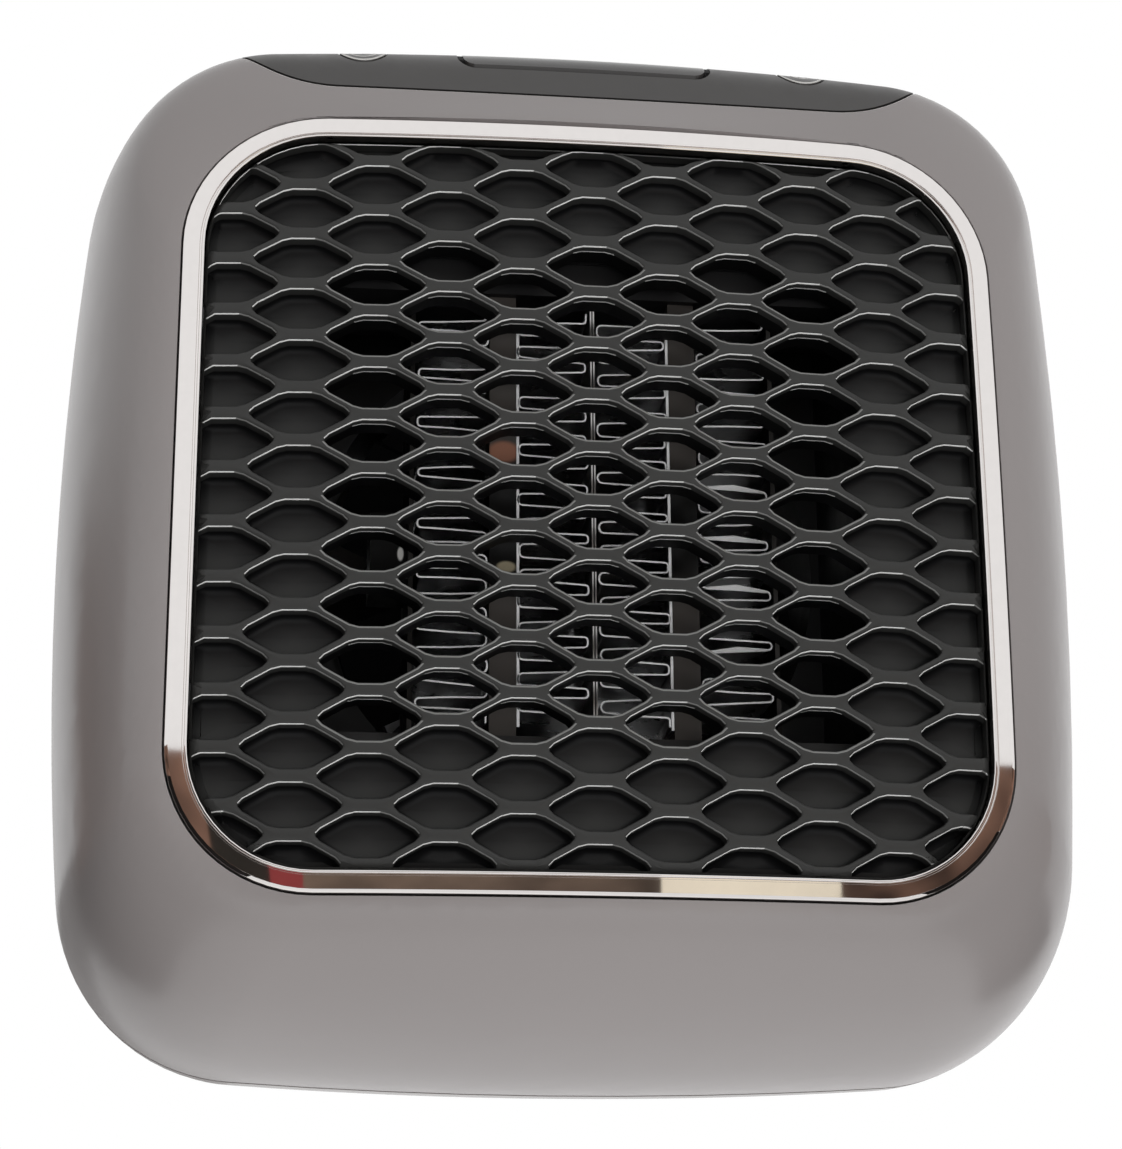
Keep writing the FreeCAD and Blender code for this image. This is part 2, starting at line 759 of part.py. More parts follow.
def fan_frame():
    flange = box(-fan_flange_half_x, fan_flange_half_x, duct_back_s, duct_back_s + fan_flange_thick,
                 heater_z - fan_flange_half_z, heater_z + fan_flange_half_z)
    shroud = rod(0, heater_z, shroud_r + shroud_wall, duct_back_s, shroud_back_s)
    frame = flange.fuse(shroud).cut(rod(0, heater_z, shroud_r, duct_back_s, shroud_back_s))
    arm_s = shroud_back_s - fan_flange_thick
    arms = []
    for k in range(arm_count):
        arm = box(motor_r, shroud_r + shroud_wall / 2, arm_s, shroud_back_s,
                  heater_z - arm_width / 2, heater_z + arm_width / 2)
        arm.rotate(V(0, 0, heater_z), V(0, 1, 0), (k + 0.5) * 360.0 / arm_count)
        arms.append(arm)
    cup = rod(0, heater_z, motor_r + cup_wall, arm_s, cup_back_s)
    frame = frame.fuse(arms + [cup])
    tools = [rod(0, heater_z, motor_r, arm_s, cup_back_s)]
    for x, z in four(fan_screw_x, fan_screw_z):
        tools.append(rod(x, z + heater_z, small_screw_r + hole_extra,
                         duct_back_s, duct_back_s + fan_flange_thick))
    return frame.cut(tools).removeSplitter()


def fan_motor():
    can = rod(0, heater_z, motor_r, shroud_back_s, motor_back_s)
    front = rod(0, heater_z, motor_boss_r, shroud_back_s - motor_boss, shroud_back_s)
    rear = rod(0, heater_z, motor_boss_r, motor_back_s, motor_back_s + motor_boss)
    bore = rod(0, heater_z, shaft_r + shaft_gap, shroud_back_s - motor_boss, shaft_back_s + slide_gap)
    return can.fuse([front, rear]).cut(bore).removeSplitter()


def fan_shaft():
    return rod(0, heater_z, shaft_r, shaft_front_s, shaft_back_s)


def impeller():
    hub_back = hub_front_s + hub_length
    hub = rod(0, heater_z, hub_r, hub_front_s, hub_back)
    nose = [e for e in hub.Edges if e.BoundBox.YMax < y_of(hub_front_s) + touch_gap]
    hub = hub.makeFillet(hub_edge, nose)
    mid_s = hub_front_s + hub_length / 2
    limit = rod(0, heater_z, blade_tip_r, hub_front_s, hub_back)
    blades = []
    for k in range(blade_count):
        blade = box(hub_r / 2, blade_tip_r + blade_thick, mid_s - blade_chord / 2, mid_s + blade_chord / 2,
                    heater_z - blade_thick / 2, heater_z + blade_thick / 2)
        blade.rotate(V(0, y_of(mid_s), heater_z), V(1, 0, 0), 90.0 - blade_pitch)
        blade.rotate(V(0, 0, heater_z), V(0, 1, 0), k * 360.0 / blade_count)
        blades.append(blade.common(limit))
    return hub.fuse(blades).cut(rod(0, heater_z, shaft_r, shaft_front_s, hub_back)).removeSplitter()


# Power board

def power_board():
    back = power_board_s + board_thick
    board = box(-power_half_x, power_half_x, power_board_s, back, power_low_z, power_high_z)
    holes = [rod(sx * power_post_x, z, small_screw_r + hole_extra, power_board_s, back)
             for sx in (-1, 1) for z in power_post_z]
    return board.cut(holes)


def power_screws():
    screws = []
    for sx in (-1, 1):
        for z in power_post_z:
            head = rod(sx * power_post_x, z, small_head_r, power_board_s - small_head, power_board_s)
            shank = rod(sx * power_post_x, z, small_screw_r, power_board_s,
                        power_board_s + board_thick + small_bite)
            screws.append(head.fuse(shank).removeSplitter())
    return Part.makeCompound(screws)


def power_relay():
    size_x, size_s, size_z = relay_size
    return box(relay_x - size_x / 2, relay_x + size_x / 2, power_board_s - size_s, power_board_s,
               part_z - size_z / 2, part_z + size_z / 2)


def board_can(x, radius, length):
    return rod(x, part_z, radius, power_board_s - length, power_board_s)


# Turning plug

def plug_turret():
    body = rod(0, 0, turret_r, turret_front_s, turret_step_s)
    nose = rod(0, 0, turret_nose_r, turret_step_s, total_depth)
    flange_s = back_s + slide_gap
    flange = rod(0, 0, turret_flange_r, flange_s, flange_s + turret_flange)
    body = body.fuse([nose, flange]).removeSplitter()
    rims = [e for e in body.Edges if e.Curve.TypeId == "Part::GeomCircle"
            and e.BoundBox.YMin > y_of(turret_step_s) - touch_gap
            and (e.BoundBox.XLength > 2 * turret_r - touch_gap or e.BoundBox.YMin > -touch_gap)]
    body = body.makeFillet(turret_edge, rims)
    tools = [rod(0, 0, turret_cavity_r, turret_front_s, total_depth - turret_face)]
    for sx in (-1, 1):
        tools.append(rod(sx * pin_spacing / 2, 0, pin_r, turret_front_s, total_depth))
    for x, z in retainer_spots():
        tools.append(rod(x, z, small_screw_r, turret_front_s, turret_front_s + small_bite))
    return body.cut(tools)


def retainer_spots():
    turns = [math.radians(90 + k * 360.0 / retainer_screws) for k in range(retainer_screws)]
    return [(retainer_screw_r * math.cos(t), retainer_screw_r * math.sin(t)) for t in turns]


def plug_retainer():
    first = turret_front_s - retainer_thick
    tools = [rod(0, 0, retainer_hole_r, first, turret_front_s)]
    for x, z in retainer_spots():
        tools.append(rod(x, z, small_screw_r + hole_extra, first, turret_front_s))
    return rod(0, 0, retainer_r, first, turret_front_s).cut(tools)


def plug_screws():
    first = turret_front_s - retainer_thick
    screws = []
    for x, z in retainer_spots():
        head = rod(x, z, small_head_r, first - small_head, first)
        shank = rod(x, z, small_screw_r, first, turret_front_s + small_bite)
        screws.append(head.fuse(shank).removeSplitter())
    return Part.makeCompound(screws)


def plug_pin(side):
    x = side * pin_spacing / 2
    neck_s = total_depth - pin_neck
    pin = rod(x, 0, pin_r, total_depth, total_depth + pin_length)
    tip = [e for e in pin.Edges if e.BoundBox.YMin > pin_length - touch_gap]
    pin = pin.makeFillet(pin_r / 2, tip)
    tail = rod(x, 0, pin_r, pin_tail_s, neck_s)
    return pin.fuse([rod(x, 0, pin_neck_r, neck_s, total_depth), tail]).removeSplitter()


def contact_plate():
    back = contact_plate_s + contact_plate_thick
    plate = box(-contact_half_x, contact_half_x, contact_plate_s, back, -contact_half_z, contact_half_z)
    disc = rod(0, 0, outer_ring_r + ring_band, contact_plate_s, back)
    holes = [rod(sx * contact_post_x, 0, small_screw_r + hole_extra, contact_plate_s, back) for sx in (-1, 1)]
    return plate.fuse(disc).cut(holes).removeSplitter()


def contact_screws():
    screws = []
    for sx in (-1, 1):
        head = rod(sx * contact_post_x, 0, small_head_r, contact_plate_s - small_head, contact_plate_s)
        shank = rod(sx * contact_post_x, 0, small_screw_r, contact_plate_s,
                    contact_plate_s + contact_plate_thick + small_bite)
        screws.append(head.fuse(shank).removeSplitter())
    return Part.makeCompound(screws)


def contact_ring(radius):
    back = ring_front_s + ring_thick
    return rod(0, 0, radius + ring_band / 2, ring_front_s, back).cut(
        rod(0, 0, radius - ring_band / 2, ring_front_s, back))


def wiper(side, radius):
    """Leaf from a pin's tail to its contact ring."""
    pin_x = side * pin_spacing / 2
    first = ring_front_s + ring_thick + wiper_gap
    x = side * radius
    foot_s = pin_tail_s - wiper_thick
    foot = box(min(x, pin_x) - wiper_half_z, max(x, pin_x) + wiper_half_z, foot_s, pin_tail_s,
               -wiper_half_z, wiper_half_z)
    leaf = box(x - wiper_thick / 2, x + wiper_thick / 2, first, foot_s, -wiper_half_z, wiper_half_z)
    return foot.fuse(leaf).removeSplitter()


# Rear of the case

def intake_slots():
    slots = []
    for k in range(slot_count):
        turn = (k + 0.5) * 360.0 / slot_count
        off_post = min(turn % 180.0, 180.0 - turn % 180.0)
        if off_post < post_clear_deg:
            continue
        slot = box(slot_in_r, slot_out_r, back_s - 2 * wall, back_s + wall, -slot_width / 2, slot_width / 2)
        slot.rotate(V(0, 0, 0), V(0, 1, 0), turn)
        slots.append(slot)
    return slots


def rear_shell():
    outer = rear_body(0.0, seam_s + seam_gap, back_s)
    shell = outer.cut(rear_body(wall, seam_s + seam_gap, back_s - wall))
    lip = seam_band(wall + slide_gap, 2 * wall, seam_s - lip_length, seam_s + 2 * wall)
    collar = rod(0, 0, turret_r + turret_gap + collar_wall, collar_front_s, back_s - wall / 2)
    solids = [rod(x, z, boss_r, boss_end_s, back_s) for x, z in four(boss_x, boss_z)]
    solids += [rod(sx * power_post_x, z, power_post_r, power_board_s + board_thick, back_s)
               for sx in (-1, 1) for z in power_post_z]
    solids += [rod(sx * contact_post_x, 0, contact_post_r, ring_front_s, back_s) for sx in (-1, 1)]
    reach = rear_body(wall / 4, seam_s + seam_gap, back_s - wall / 4)
    inside = [s.common(reach.fuse(box(-half_width, half_width, boss_end_s, seam_s + seam_gap,
                                      -half_height, half_height))) for s in solids]
    shell = shell.fuse([lip, collar] + inside)
    tools = [rod(0, 0, turret_r + turret_gap, collar_front_s, back_s)] + intake_slots()
    for x, z in four(boss_x, boss_z):
        tools.append(rod(x, z, case_screw_r + hole_extra, boss_end_s, head_seat_s))
        tools.append(rod(x, z, case_head_r + 2 * hole_extra, head_seat_s, back_s))
    for sx in (-1, 1):
        for z in power_post_z:
            tools.append(rod(sx * power_post_x, z, small_screw_r, power_board_s,
                             power_board_s + board_thick + small_bite))
        tools.append(rod(sx * contact_post_x, 0, small_screw_r, ring_front_s, ring_front_s + small_bite))
    return shell.cut(tools).removeSplitter()


def case_screws():
    screws = []
    for x, z in four(boss_x, boss_z):
        head = rod(x, z, case_head_r, head_seat_s, head_seat_s + case_head)
        shank = rod(x, z, case_screw_r, boss_end_s - case_bite, head_seat_s)
        screws.append(head.fuse(shank).removeSplitter())
    return Part.makeCompound(screws)


parts = {
    "front_shell": front_shell(),
    "rear_shell": rear_shell(),
    "case_screws": case_screws(),
    "chrome_ring": chrome_ring(),
    "front_grille": front_grille(),
    "top_panel": top_panel(),
    "display_lens": display_lens(),
    "display_module": display_module(),
    "timer_button": button(-button_x),
    "power_button": button(button_x),
    "timer_switch": push_switch(-button_x),
    "power_switch": push_switch(button_x),
    "control_board": control_board(),
    "control_screws": control_screws(),
    "heater_duct": heater_duct(),
    "duct_screws": back_screws(four(duct_screw_x, duct_screw_z), seat_s + seat_thick + duct_plate_thick,
                               seat_thick + duct_plate_thick),
    "upper_clip": element_clip(1),
    "lower_clip": element_clip(-1),
    "heater_tube_left": heater_bar(-tube_x, tube_width, tube_half_z),
    "heater_tube_right": heater_bar(tube_x, tube_width, tube_half_z),
    "fin_strip_1": fin_strip(-fin_out_x),
    "fin_strip_2": fin_strip(-fin_in_x),
    "fin_strip_3": fin_strip(fin_in_x),
    "fin_strip_4": fin_strip(fin_out_x),
    "fin_divider": heater_bar(0, divider_width, plate_half_z),
    "fin_end_left": heater_bar(-end_x, end_width, plate_half_z),
    "fin_end_right": heater_bar(end_x, end_width, plate_half_z),
    "heater_terminals": heater_terminals(),
    "thermal_cutout": thermal_cutout(),
    "fan_frame": fan_frame(),
    "fan_screws": back_screws(four(fan_screw_x, fan_screw_z), duct_back_s + fan_flange_thick,
                              2 * fan_flange_thick),
    "fan_motor": fan_motor(),
    "fan_shaft": fan_shaft(),
    "impeller": impeller(),
    "power_board": power_board(),
    "power_screws": power_screws(),
    "power_relay": power_relay(),
    "filter_capacitor": board_can(capacitor_x, capacitor_r, capacitor_length),
    "board_fuse": board_can(fuse_x, fuse_r, fuse_length),
    "plug_turret": plug_turret(),
    "plug_pin_left": plug_pin(-1),
    "plug_pin_right": plug_pin(1),
    "plug_retainer": plug_retainer(),
    "plug_screws": plug_screws(),
    "contact_plate": contact_plate(),
    "contact_screws": contact_screws(),
    "contact_ring_outer": contact_ring(outer_ring_r),
    "contact_ring_inner": contact_ring(inner_ring_r),
    "wiper_left": wiper(-1, outer_ring_r),
    "wiper_right": wiper(1, inner_ring_r),
}

for name, shape in parts.items():
    shape.exportStep("parts/" + name + ".step")
    print(name, len(shape.Solids), shape.isValid(), round(shape.Volume, 1))
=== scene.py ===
import json
import math
import random

import bmesh
import bpy
from bmesh.types import BMEdge, BMFace, BMVert
from bpy.props import FloatProperty, FloatVectorProperty, PointerProperty
from mathutils import Matrix, Vector
from mathutils.bvhtree import BVHTree

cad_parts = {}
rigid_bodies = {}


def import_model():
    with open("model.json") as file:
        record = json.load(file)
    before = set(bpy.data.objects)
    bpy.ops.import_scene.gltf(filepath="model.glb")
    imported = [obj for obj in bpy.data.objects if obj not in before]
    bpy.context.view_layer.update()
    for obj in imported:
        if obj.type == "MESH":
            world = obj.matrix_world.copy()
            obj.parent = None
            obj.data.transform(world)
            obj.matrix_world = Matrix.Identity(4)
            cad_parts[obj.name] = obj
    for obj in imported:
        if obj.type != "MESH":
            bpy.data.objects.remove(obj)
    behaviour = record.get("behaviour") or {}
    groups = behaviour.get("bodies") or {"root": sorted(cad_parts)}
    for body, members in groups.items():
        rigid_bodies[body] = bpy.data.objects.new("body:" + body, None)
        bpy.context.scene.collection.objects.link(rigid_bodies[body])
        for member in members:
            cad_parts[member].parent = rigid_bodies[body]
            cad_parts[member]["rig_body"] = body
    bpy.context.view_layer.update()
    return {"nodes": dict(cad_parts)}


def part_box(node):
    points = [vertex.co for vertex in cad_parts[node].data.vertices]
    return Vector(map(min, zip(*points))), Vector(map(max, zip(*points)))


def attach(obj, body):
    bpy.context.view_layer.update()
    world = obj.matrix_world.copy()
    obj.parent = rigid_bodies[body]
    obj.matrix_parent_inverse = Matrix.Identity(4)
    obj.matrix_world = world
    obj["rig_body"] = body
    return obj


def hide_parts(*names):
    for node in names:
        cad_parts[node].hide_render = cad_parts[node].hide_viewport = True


bl_info = {
    "name": "Plug-in heater finish",
    "version": (1, 0, 0),
    "blender": (4, 5, 0),
    "location": "3D View > Sidebar > Heater",
    "description": "Trim, grille, finishes and studio for a plug-in fan heater",
    "category": "Object",
}

for leftover in list(bpy.data.objects):
    bpy.data.objects.remove(leftover)

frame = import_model()
NODES = frame["nodes"]
RING_LOW, RING_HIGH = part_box("chrome_ring")
GRILLE_LOW, GRILLE_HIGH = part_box("front_grille")

MM = 0.001
SAME = 1e-6


def tone(*levels):
    """A colour read off a screen, 0 to 255, as the linear numbers that shaders use."""
    parts = [level / 255 for level in levels]
    return tuple(c / 12.92 if c <= 0.04 else ((c + 0.055) / 1.055) ** 2.4 for c in parts)


def length(name, description, default):
    return FloatProperty(name=name, description=description, default=default, unit="LENGTH", precision=5)


def colour(name, description, default):
    return FloatVectorProperty(name=name, description=description, default=default, subtype="COLOR",
                               size=3, min=0.0, max=1.0)


class HeaterSizes(bpy.types.PropertyGroup):
    """Sizes of the pieces that are modelled here."""
    front_y: length("Front", "Foremost point of the dome", GRILLE_LOW.y)
    dome_x: length("Dome radius across", "Radius of the dome seen from above", 398 * MM)
    dome_z: length("Dome radius upright", "Radius of the dome seen from the side", 578 * MM)
    dome_mid: length("Dome height", "Height of the foremost point", -0.8 * MM)
    ring_x: length("Ring half width", "Half the width over the ring", RING_HIGH.x)
    ring_z: length("Ring half height", "Half the height over it", (RING_HIGH.z - RING_LOW.z) / 2)
    ring_mid: length("Ring middle", "Height of its middle", (RING_HIGH.z + RING_LOW.z) / 2)
    ring_corner: length("Ring corner", "Outer corner radius", 16 * MM)
    ring_depth: length("Ring depth", "Depth behind the dome", 3.5 * MM)
    grille_x: length("Grille half width", "Half the width of the grille", GRILLE_HIGH.x)
    grille_z: length("Grille half height", "Half its height", (GRILLE_HIGH.z - GRILLE_LOW.z) / 2)
    grille_corner: length("Grille corner", "Its corner radius", 13.4 * MM)
    grille_thick: length("Grille thickness", "Depth of the grille and its ribs", 4.6 * MM)
    rib_depth: length("Rib depth", "Depth of the wider front of the open ribs", 1.6 * MM)
    # The lip's brightness is a painted highlight, given in mark_faces.
    rib_lip: length("Rib lip", "Depth of the bright lip where that ends", 0.24 * MM)
    rib_step: length("Rib step", "How far the rear of the ribs is set in", 0.1 * MM)
    grille_rim: length("Grille rim", "Width of the closed edge round the cells", 0.3 * MM)
    rim_fall: length("Rim fall", "Width of the falling edge under the ring", 1.2 * MM)
    rim_drop: length("Rim drop", "How far that edge falls", 1.3 * MM)
    cell_pitch_x: length("Cell pitch across", "Distance between cell columns", 8.2 * MM)
    cell_pitch_z: length("Cell pitch upright", "Distance between cells of a column", 6.24 * MM)
    cell_point: length("Cell half length", "Half the length of a cell", 5.4 * MM)
    cell_blunt: length("Cell blunt end", "Half the height of a cell's blunt end", 0.392 * MM)
    cell_flat: length("Cell half flat", "Half the length of a cell's flat sides", 1.85 * MM)
    cell_high: length("Cell half height", "Half the height of a cell", 2.38 * MM)
    cell_corner: length("Cell corner", "Rounding of the cell corners", 0.55 * MM)
    cell_round: length("Cell edge", "Rounding of the cell edges", 0.30 * MM)
    pocket: length("Pocket depth", "Depth of the blind cells", 2.7 * MM)
    bowl_round: length("Bowl edge", "Rounding of the floors of the blind cells", 0.9 * MM)
    fin_period: length("Fin period", "Height of one fold of the fin strips", 3.05 * MM)
    fin_loop: length("Fin loop", "Height of the loops of the folds", 1.25 * MM)
    fin_bend: length("Fin bend", "Rounding of the loops", 0.46 * MM)
    fin_sheet: length("Fin sheet", "Thickness of the fin sheet", 0.19 * MM)
    dent_depth: length("Dent depth", "How far the dents reach back", 0.25 * MM)
    dent_rise: length("Dent rise", "How far the dents lift the front of a fold", 0.5 * MM)
    bezel_reach: length("Bezel blend", "Width of the shell lip's blend at the sides", 12.5 * MM)
    facet_reach: length("Facet blend", "Width of the shell lip's blend at the top", 5.2 * MM)
    lip_sink: length("Lip sink", "How far the shell's lip lies behind the ring's edge", 0.05 * MM)


class HeaterColours(bpy.types.PropertyGroup):
    """Colours of the finishes."""
    shell: colour("Shell", "Warm grey case", tone(146, 140, 139))
    panel: colour("Panel", "Charcoal control panel", tone(60, 58, 57))
    lens: colour("Lens", "Smoked display window", tone(56, 54, 53))
    mark: colour("Marks", "Light rings and signs on the buttons", tone(214, 212, 208))
    chrome: colour("Chrome", "Plated ring", (0.76, 0.73, 0.715))
    grille: colour("Grille", "Dark grey grille", tone(51, 51, 50))
    # Painted highlight: the two edge colours are a bright and a dim copy, laid on rounded rib edges by the
    # way they face.
    edge: colour("Bright edges", "Polished lower edges of the ribs", tone(232, 232, 230))
    dim_painted_highlight: colour("Dim edges", "Upper edges of the ribs at open cells", tone(124, 124, 122))
    # Painted shade: the pocket colour stands for the shade deep in the blind cells and on the rear of the
    # ribs.
    pocket: colour("Pockets", "Deepest part of the blind cells", tone(16, 16, 17))
    tube: colour("Heater tubes", "Film over the heater tubes", tone(70, 66, 63))
    fin: colour("Fins", "Bare aluminium sheet", (0.80, 0.80, 0.81))
    # Near-white cut edges, partly the sheet's own bare edge and partly a painted highlight; also painted
    # glints on the dented folds.
    fin_edge_and_painted_glint: colour("Fin edges", "Cut edges of the aluminium sheet", (0.97, 0.97, 0.97))
    duct: colour("Duct", "Heat-proof black plastic", tone(24, 24, 25))
    plug: colour("Plug", "Dark plug body", tone(52, 52, 53))
    floor: colour("Floor", "Pale studio floor", (0.92, 0.92, 0.92))


def sizes():
    return bpy.context.scene.heater_sizes


def colours():
    return bpy.context.scene.heater_colours


# Finishes, and the ways in which their grain is stretched
EVEN = (1.0, 1.0, 1.0)
UPRIGHT = (1.0, 1.0, 0.15)
LENGTHWISE = (1.0, 0.2, 1.0)


def new_finish(name):
    finish = bpy.data.materials.new(name)
    finish.use_nodes = True
    tree = finish.node_tree
    place = tree.nodes.new("ShaderNodeTexCoord").outputs["Object"]
    return finish, tree, tree.nodes["Principled BSDF"], place


def grain(tree, place, scale, detail=2.0, stretch=EVEN):
    """Soft noise with about `scale` patches in a metre."""
    mapping = tree.nodes.new("ShaderNodeMapping")
    mapping.inputs["Scale"].default_value = stretch
    tree.links.new(place, mapping.inputs["Vector"])
    noise = tree.nodes.new("ShaderNodeTexNoise")
    noise.inputs["Scale"].default_value = scale
    noise.inputs["Detail"].default_value = detail
    tree.links.new(mapping.outputs["Vector"], noise.inputs["Vector"])
    return noise.outputs["Fac"]


def map_range(tree, value, low, high, first=0.0, last=1.0, run="LINEAR"):
    """Runs from a first to a last number while a value runs from low to high."""
    span = tree.nodes.new("ShaderNodeMapRange")
    span.interpolation_type = run
    for socket, number in (("From Min", low), ("From Max", high), ("To Min", first), ("To Max", last)):
        span.inputs[socket].default_value = number
    tree.links.new(value, span.inputs["Value"])
    return span.outputs["Result"]


def spread(tree, value, low=0.0, high=1.0):
    """Takes noise to a range of numbers."""
    return map_range(tree, value, 0.3, 0.7, low, high)


def blend(tree, value, first, second):
    """Blends a colour, fixed or linked, into a second one."""
    mix = tree.nodes.new("ShaderNodeMix")
    mix.data_type = "RGBA"
    if isinstance(first, bpy.types.NodeSocket):
        tree.links.new(first, mix.inputs["A"])
    else:
        mix.inputs["A"].default_value = (*first, 1.0)
    mix.inputs["B"].default_value = (*second, 1.0)
    tree.links.new(value, mix.inputs["Factor"])
    return mix.outputs["Result"]


def tint(tree, value, base, dark, light):
    """A colour that wanders between a darker and a lighter one."""
    return blend(tree, value, [c * dark for c in base], [min(1.0, c * light) for c in base])


def spot(tree, place, middle, radius, stretch):
    """One at a point, falling to nothing at a radius, which is stretched upright."""
    local = tree.nodes.new("ShaderNodeMapping")
    local.vector_type = "TEXTURE"
    local.inputs["Location"].default_value = middle
    local.inputs["Scale"].default_value = (radius, radius, radius * stretch)
    tree.links.new(place, local.inputs["Vector"])
    away = tree.nodes.new("ShaderNodeVectorMath")
    away.operation = "LENGTH"
    tree.links.new(local.outputs["Vector"], away.inputs[0])
    return map_range(tree, away.outputs["Value"], 0.6, 1.0, 1.0, 0.0, "SMOOTHSTEP")


def raise_grain(tree, shader, value, strength, height=0.02 * MM):
    bump = tree.nodes.new("ShaderNodeBump")
    bump.inputs["Strength"].default_value = strength
    bump.inputs["Distance"].default_value = height
    tree.links.new(value, bump.inputs["Height"])
    tree.links.new(bump.outputs["Normal"], shader.inputs["Normal"])


def dress(tree, shader, base, gloss, shine=0.5):
    """Gives the shader a colour, an uneven gloss and a share of mirrored light."""
    tree.links.new(base, shader.inputs["Base Color"])
    tree.links.new(gloss, shader.inputs["Roughness"])
    shader.inputs["Specular IOR Level"].default_value = shine


def polished(name, base, rough):
    """Smooth moulded plastic: faint cloudy colour and a gloss that wanders a little."""
    finish, tree, shader, place = new_finish(name)
    cloud = spread(tree, grain(tree, place, 30.0))
    gloss = spread(tree, grain(tree, place, 45.0), rough - 0.012, rough + 0.012)
    dress(tree, shader, tint(tree, cloud, base, 0.985, 1.015), gloss)
    return finish


def moulded(name, base, rough, texture=2600.0, strength=0.12, shine=0.5):
    """Moulded plastic: faint cloudy colour, uneven gloss and a fine spark-eroded texture."""
    finish, tree, shader, place = new_finish(name)
    cloud = spread(tree, grain(tree, place, 55.0, 4.0))
    gloss = spread(tree, grain(tree, place, 420.0, 3.0), rough - 0.04, rough + 0.04)
    dress(tree, shader, tint(tree, cloud, base, 0.98, 1.02), gloss, shine)
    raise_grain(tree, shader, grain(tree, place, texture), strength)
    return finish


def metal(name, base, rough, stretch=EVEN, strength=0.05, cloud=0.05, bare=1.0):
    """Plated metal, or bare metal dulled by its skin, with fine lines along one way."""
    finish, tree, shader, place = new_finish(name)
    shader.inputs["Metallic"].default_value = bare
    lines = grain(tree, place, 900.0, 3.0, stretch)
    gloss = spread(tree, grain(tree, place, 300.0, 2.0, stretch), rough * 0.75, rough * 1.3)
    dress(tree, shader, tint(tree, spread(tree, lines), base, 1 - cloud, 1 + cloud), gloss)
    raise_grain(tree, shader, lines, strength, 0.01 * MM)
    return finish


def wear_on(finish, *nodes):
    """Puts a finish on CAD nodes."""
    for node in nodes:
        mesh = NODES[node].data
        mesh.materials.clear()
        mesh.materials.append(finish)


# Mesh helpers

def only(kind, made):
    """The points, edges or faces among what a mesh operator made."""
    return [part for part in made if isinstance(part, kind)]


def largest_face(bm):
    return max(bm.faces, key=lambda face: face.calc_area())


def round_off(bm, parts, offset, steps, affect="EDGES", clamp=False):
    """Rounds edges or corners and gives the new faces."""
    return bmesh.ops.bevel(bm, geom=parts, offset=offset, offset_type="OFFSET", segments=steps, profile=0.5,
                           affect=affect, material=-1, clamp_overlap=clamp)["faces"]


def inset(bm, faces, inward, forward=0.0):
    bmesh.ops.inset_region(bm, faces=faces, thickness=inward, depth=forward, use_boundary=True,
                           use_even_offset=True)


def cut_at(bm, point, normal, clear=False):
    """Cuts everything along a plane and, if asked, clears what lies outside it."""
    bmesh.ops.bisect_plane(bm, geom=bm.verts[:] + bm.edges[:] + bm.faces[:], dist=SAME, plane_co=point,
                           plane_no=normal, clear_outer=clear)


def add_card(bm, place, wide, high):
    """A flat rectangle in the plane that a matrix lays down."""
    bmesh.ops.create_grid(bm, x_segments=1, y_segments=1, size=0.5,
                          matrix=place @ Matrix.Diagonal((wide, high, 1, 1)))


def rounded_card(place, half_wide, half_high, corner, steps, cuts):
    """A flat rectangle with rounded corners and divided sides."""
    bm = bmesh.new()
    add_card(bm, place, 2 * half_wide, 2 * half_high)
    round_off(bm, bm.verts[:], corner, steps, "VERTICES")
    sides = [e for e in bm.edges if e.calc_length() > corner]
    bmesh.ops.subdivide_edges(bm, edges=sides, cuts=cuts)
    return bm


def sweep(bm, ends, turn, steps, merge=False):
    """Turns the line between two points about the upright axis."""
    line = [bm.verts.new(end) for end in ends]
    edge = bm.edges.new(line)
    bmesh.ops.spin(bm, geom=[*line, edge], cent=(0, 0, 0), axis=(0, 0, 1), angle=math.radians(turn),
                   steps=steps, use_merge=merge)


def dome_rise(x, z):
    """How far the dome lies behind its foremost point."""
    s = sizes()
    return x * x / (2 * s.dome_x) + (z - s.dome_mid) ** 2 / (2 * s.dome_z)


def add_object(name, data):
    """Puts a mesh, a lamp or a camera into the scene."""
    made = bpy.data.objects.new(name, data)
    bpy.context.scene.collection.objects.link(made)
    return made


def new_object(bm, name, *finishes):
    """Makes the bmesh an object of the scene."""
    mesh = bpy.data.meshes.new(name)
    bm.to_mesh(mesh)
    bm.free()
    for finish in finishes:
        mesh.materials.append(finish)
    return add_object(name, mesh)


def finished_piece(bm, name, node, slot, crease, *finishes):
    """Makes the bmesh a smooth object with creases that stands for a CAD node."""
    for face in bm.faces:
        face.smooth = True
    piece = new_object(bm, name, *finishes)
    piece.data.set_sharp_from_angle(angle=math.radians(crease))
    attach(piece, NODES[node]["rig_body"])
    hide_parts(node)
    return piece


def even_normals(piece):
    """Keeps flat faces flat beside rounded edges."""
    weighted = piece.modifiers.new("even_normals", "WEIGHTED_NORMAL")
    weighted.keep_sharp = True
    weighted.weight = 80


def surface_of(*nodes):
    """The surface of CAD nodes at rest, for measuring on."""
    bm = bmesh.new()
    for node in nodes:
        bm.from_mesh(NODES[node].data)
    surface = BVHTree.FromBMesh(bm)
    bm.free()
    return surface


# Chrome ring: steps from its outer edge inwards, as millimetres in and millimetres forward
RING_STEPS = (
    (0.04, 0.08), (0.05, 0.05), (0.30, 0.16), (0.05, 0.01), (1.42, 0.0), (0.04, -0.05), (0.03, -0.22),
    (0.16, 0.0), (0.03, 0.14), (0.06, 0.08), (0.13, 0.02), (0.09, -0.04), (0.05, -0.22),
)
RING_GAP = 0.02 * MM
RING_ARC_STEPS, RING_SIDE_CUTS = 16, 40


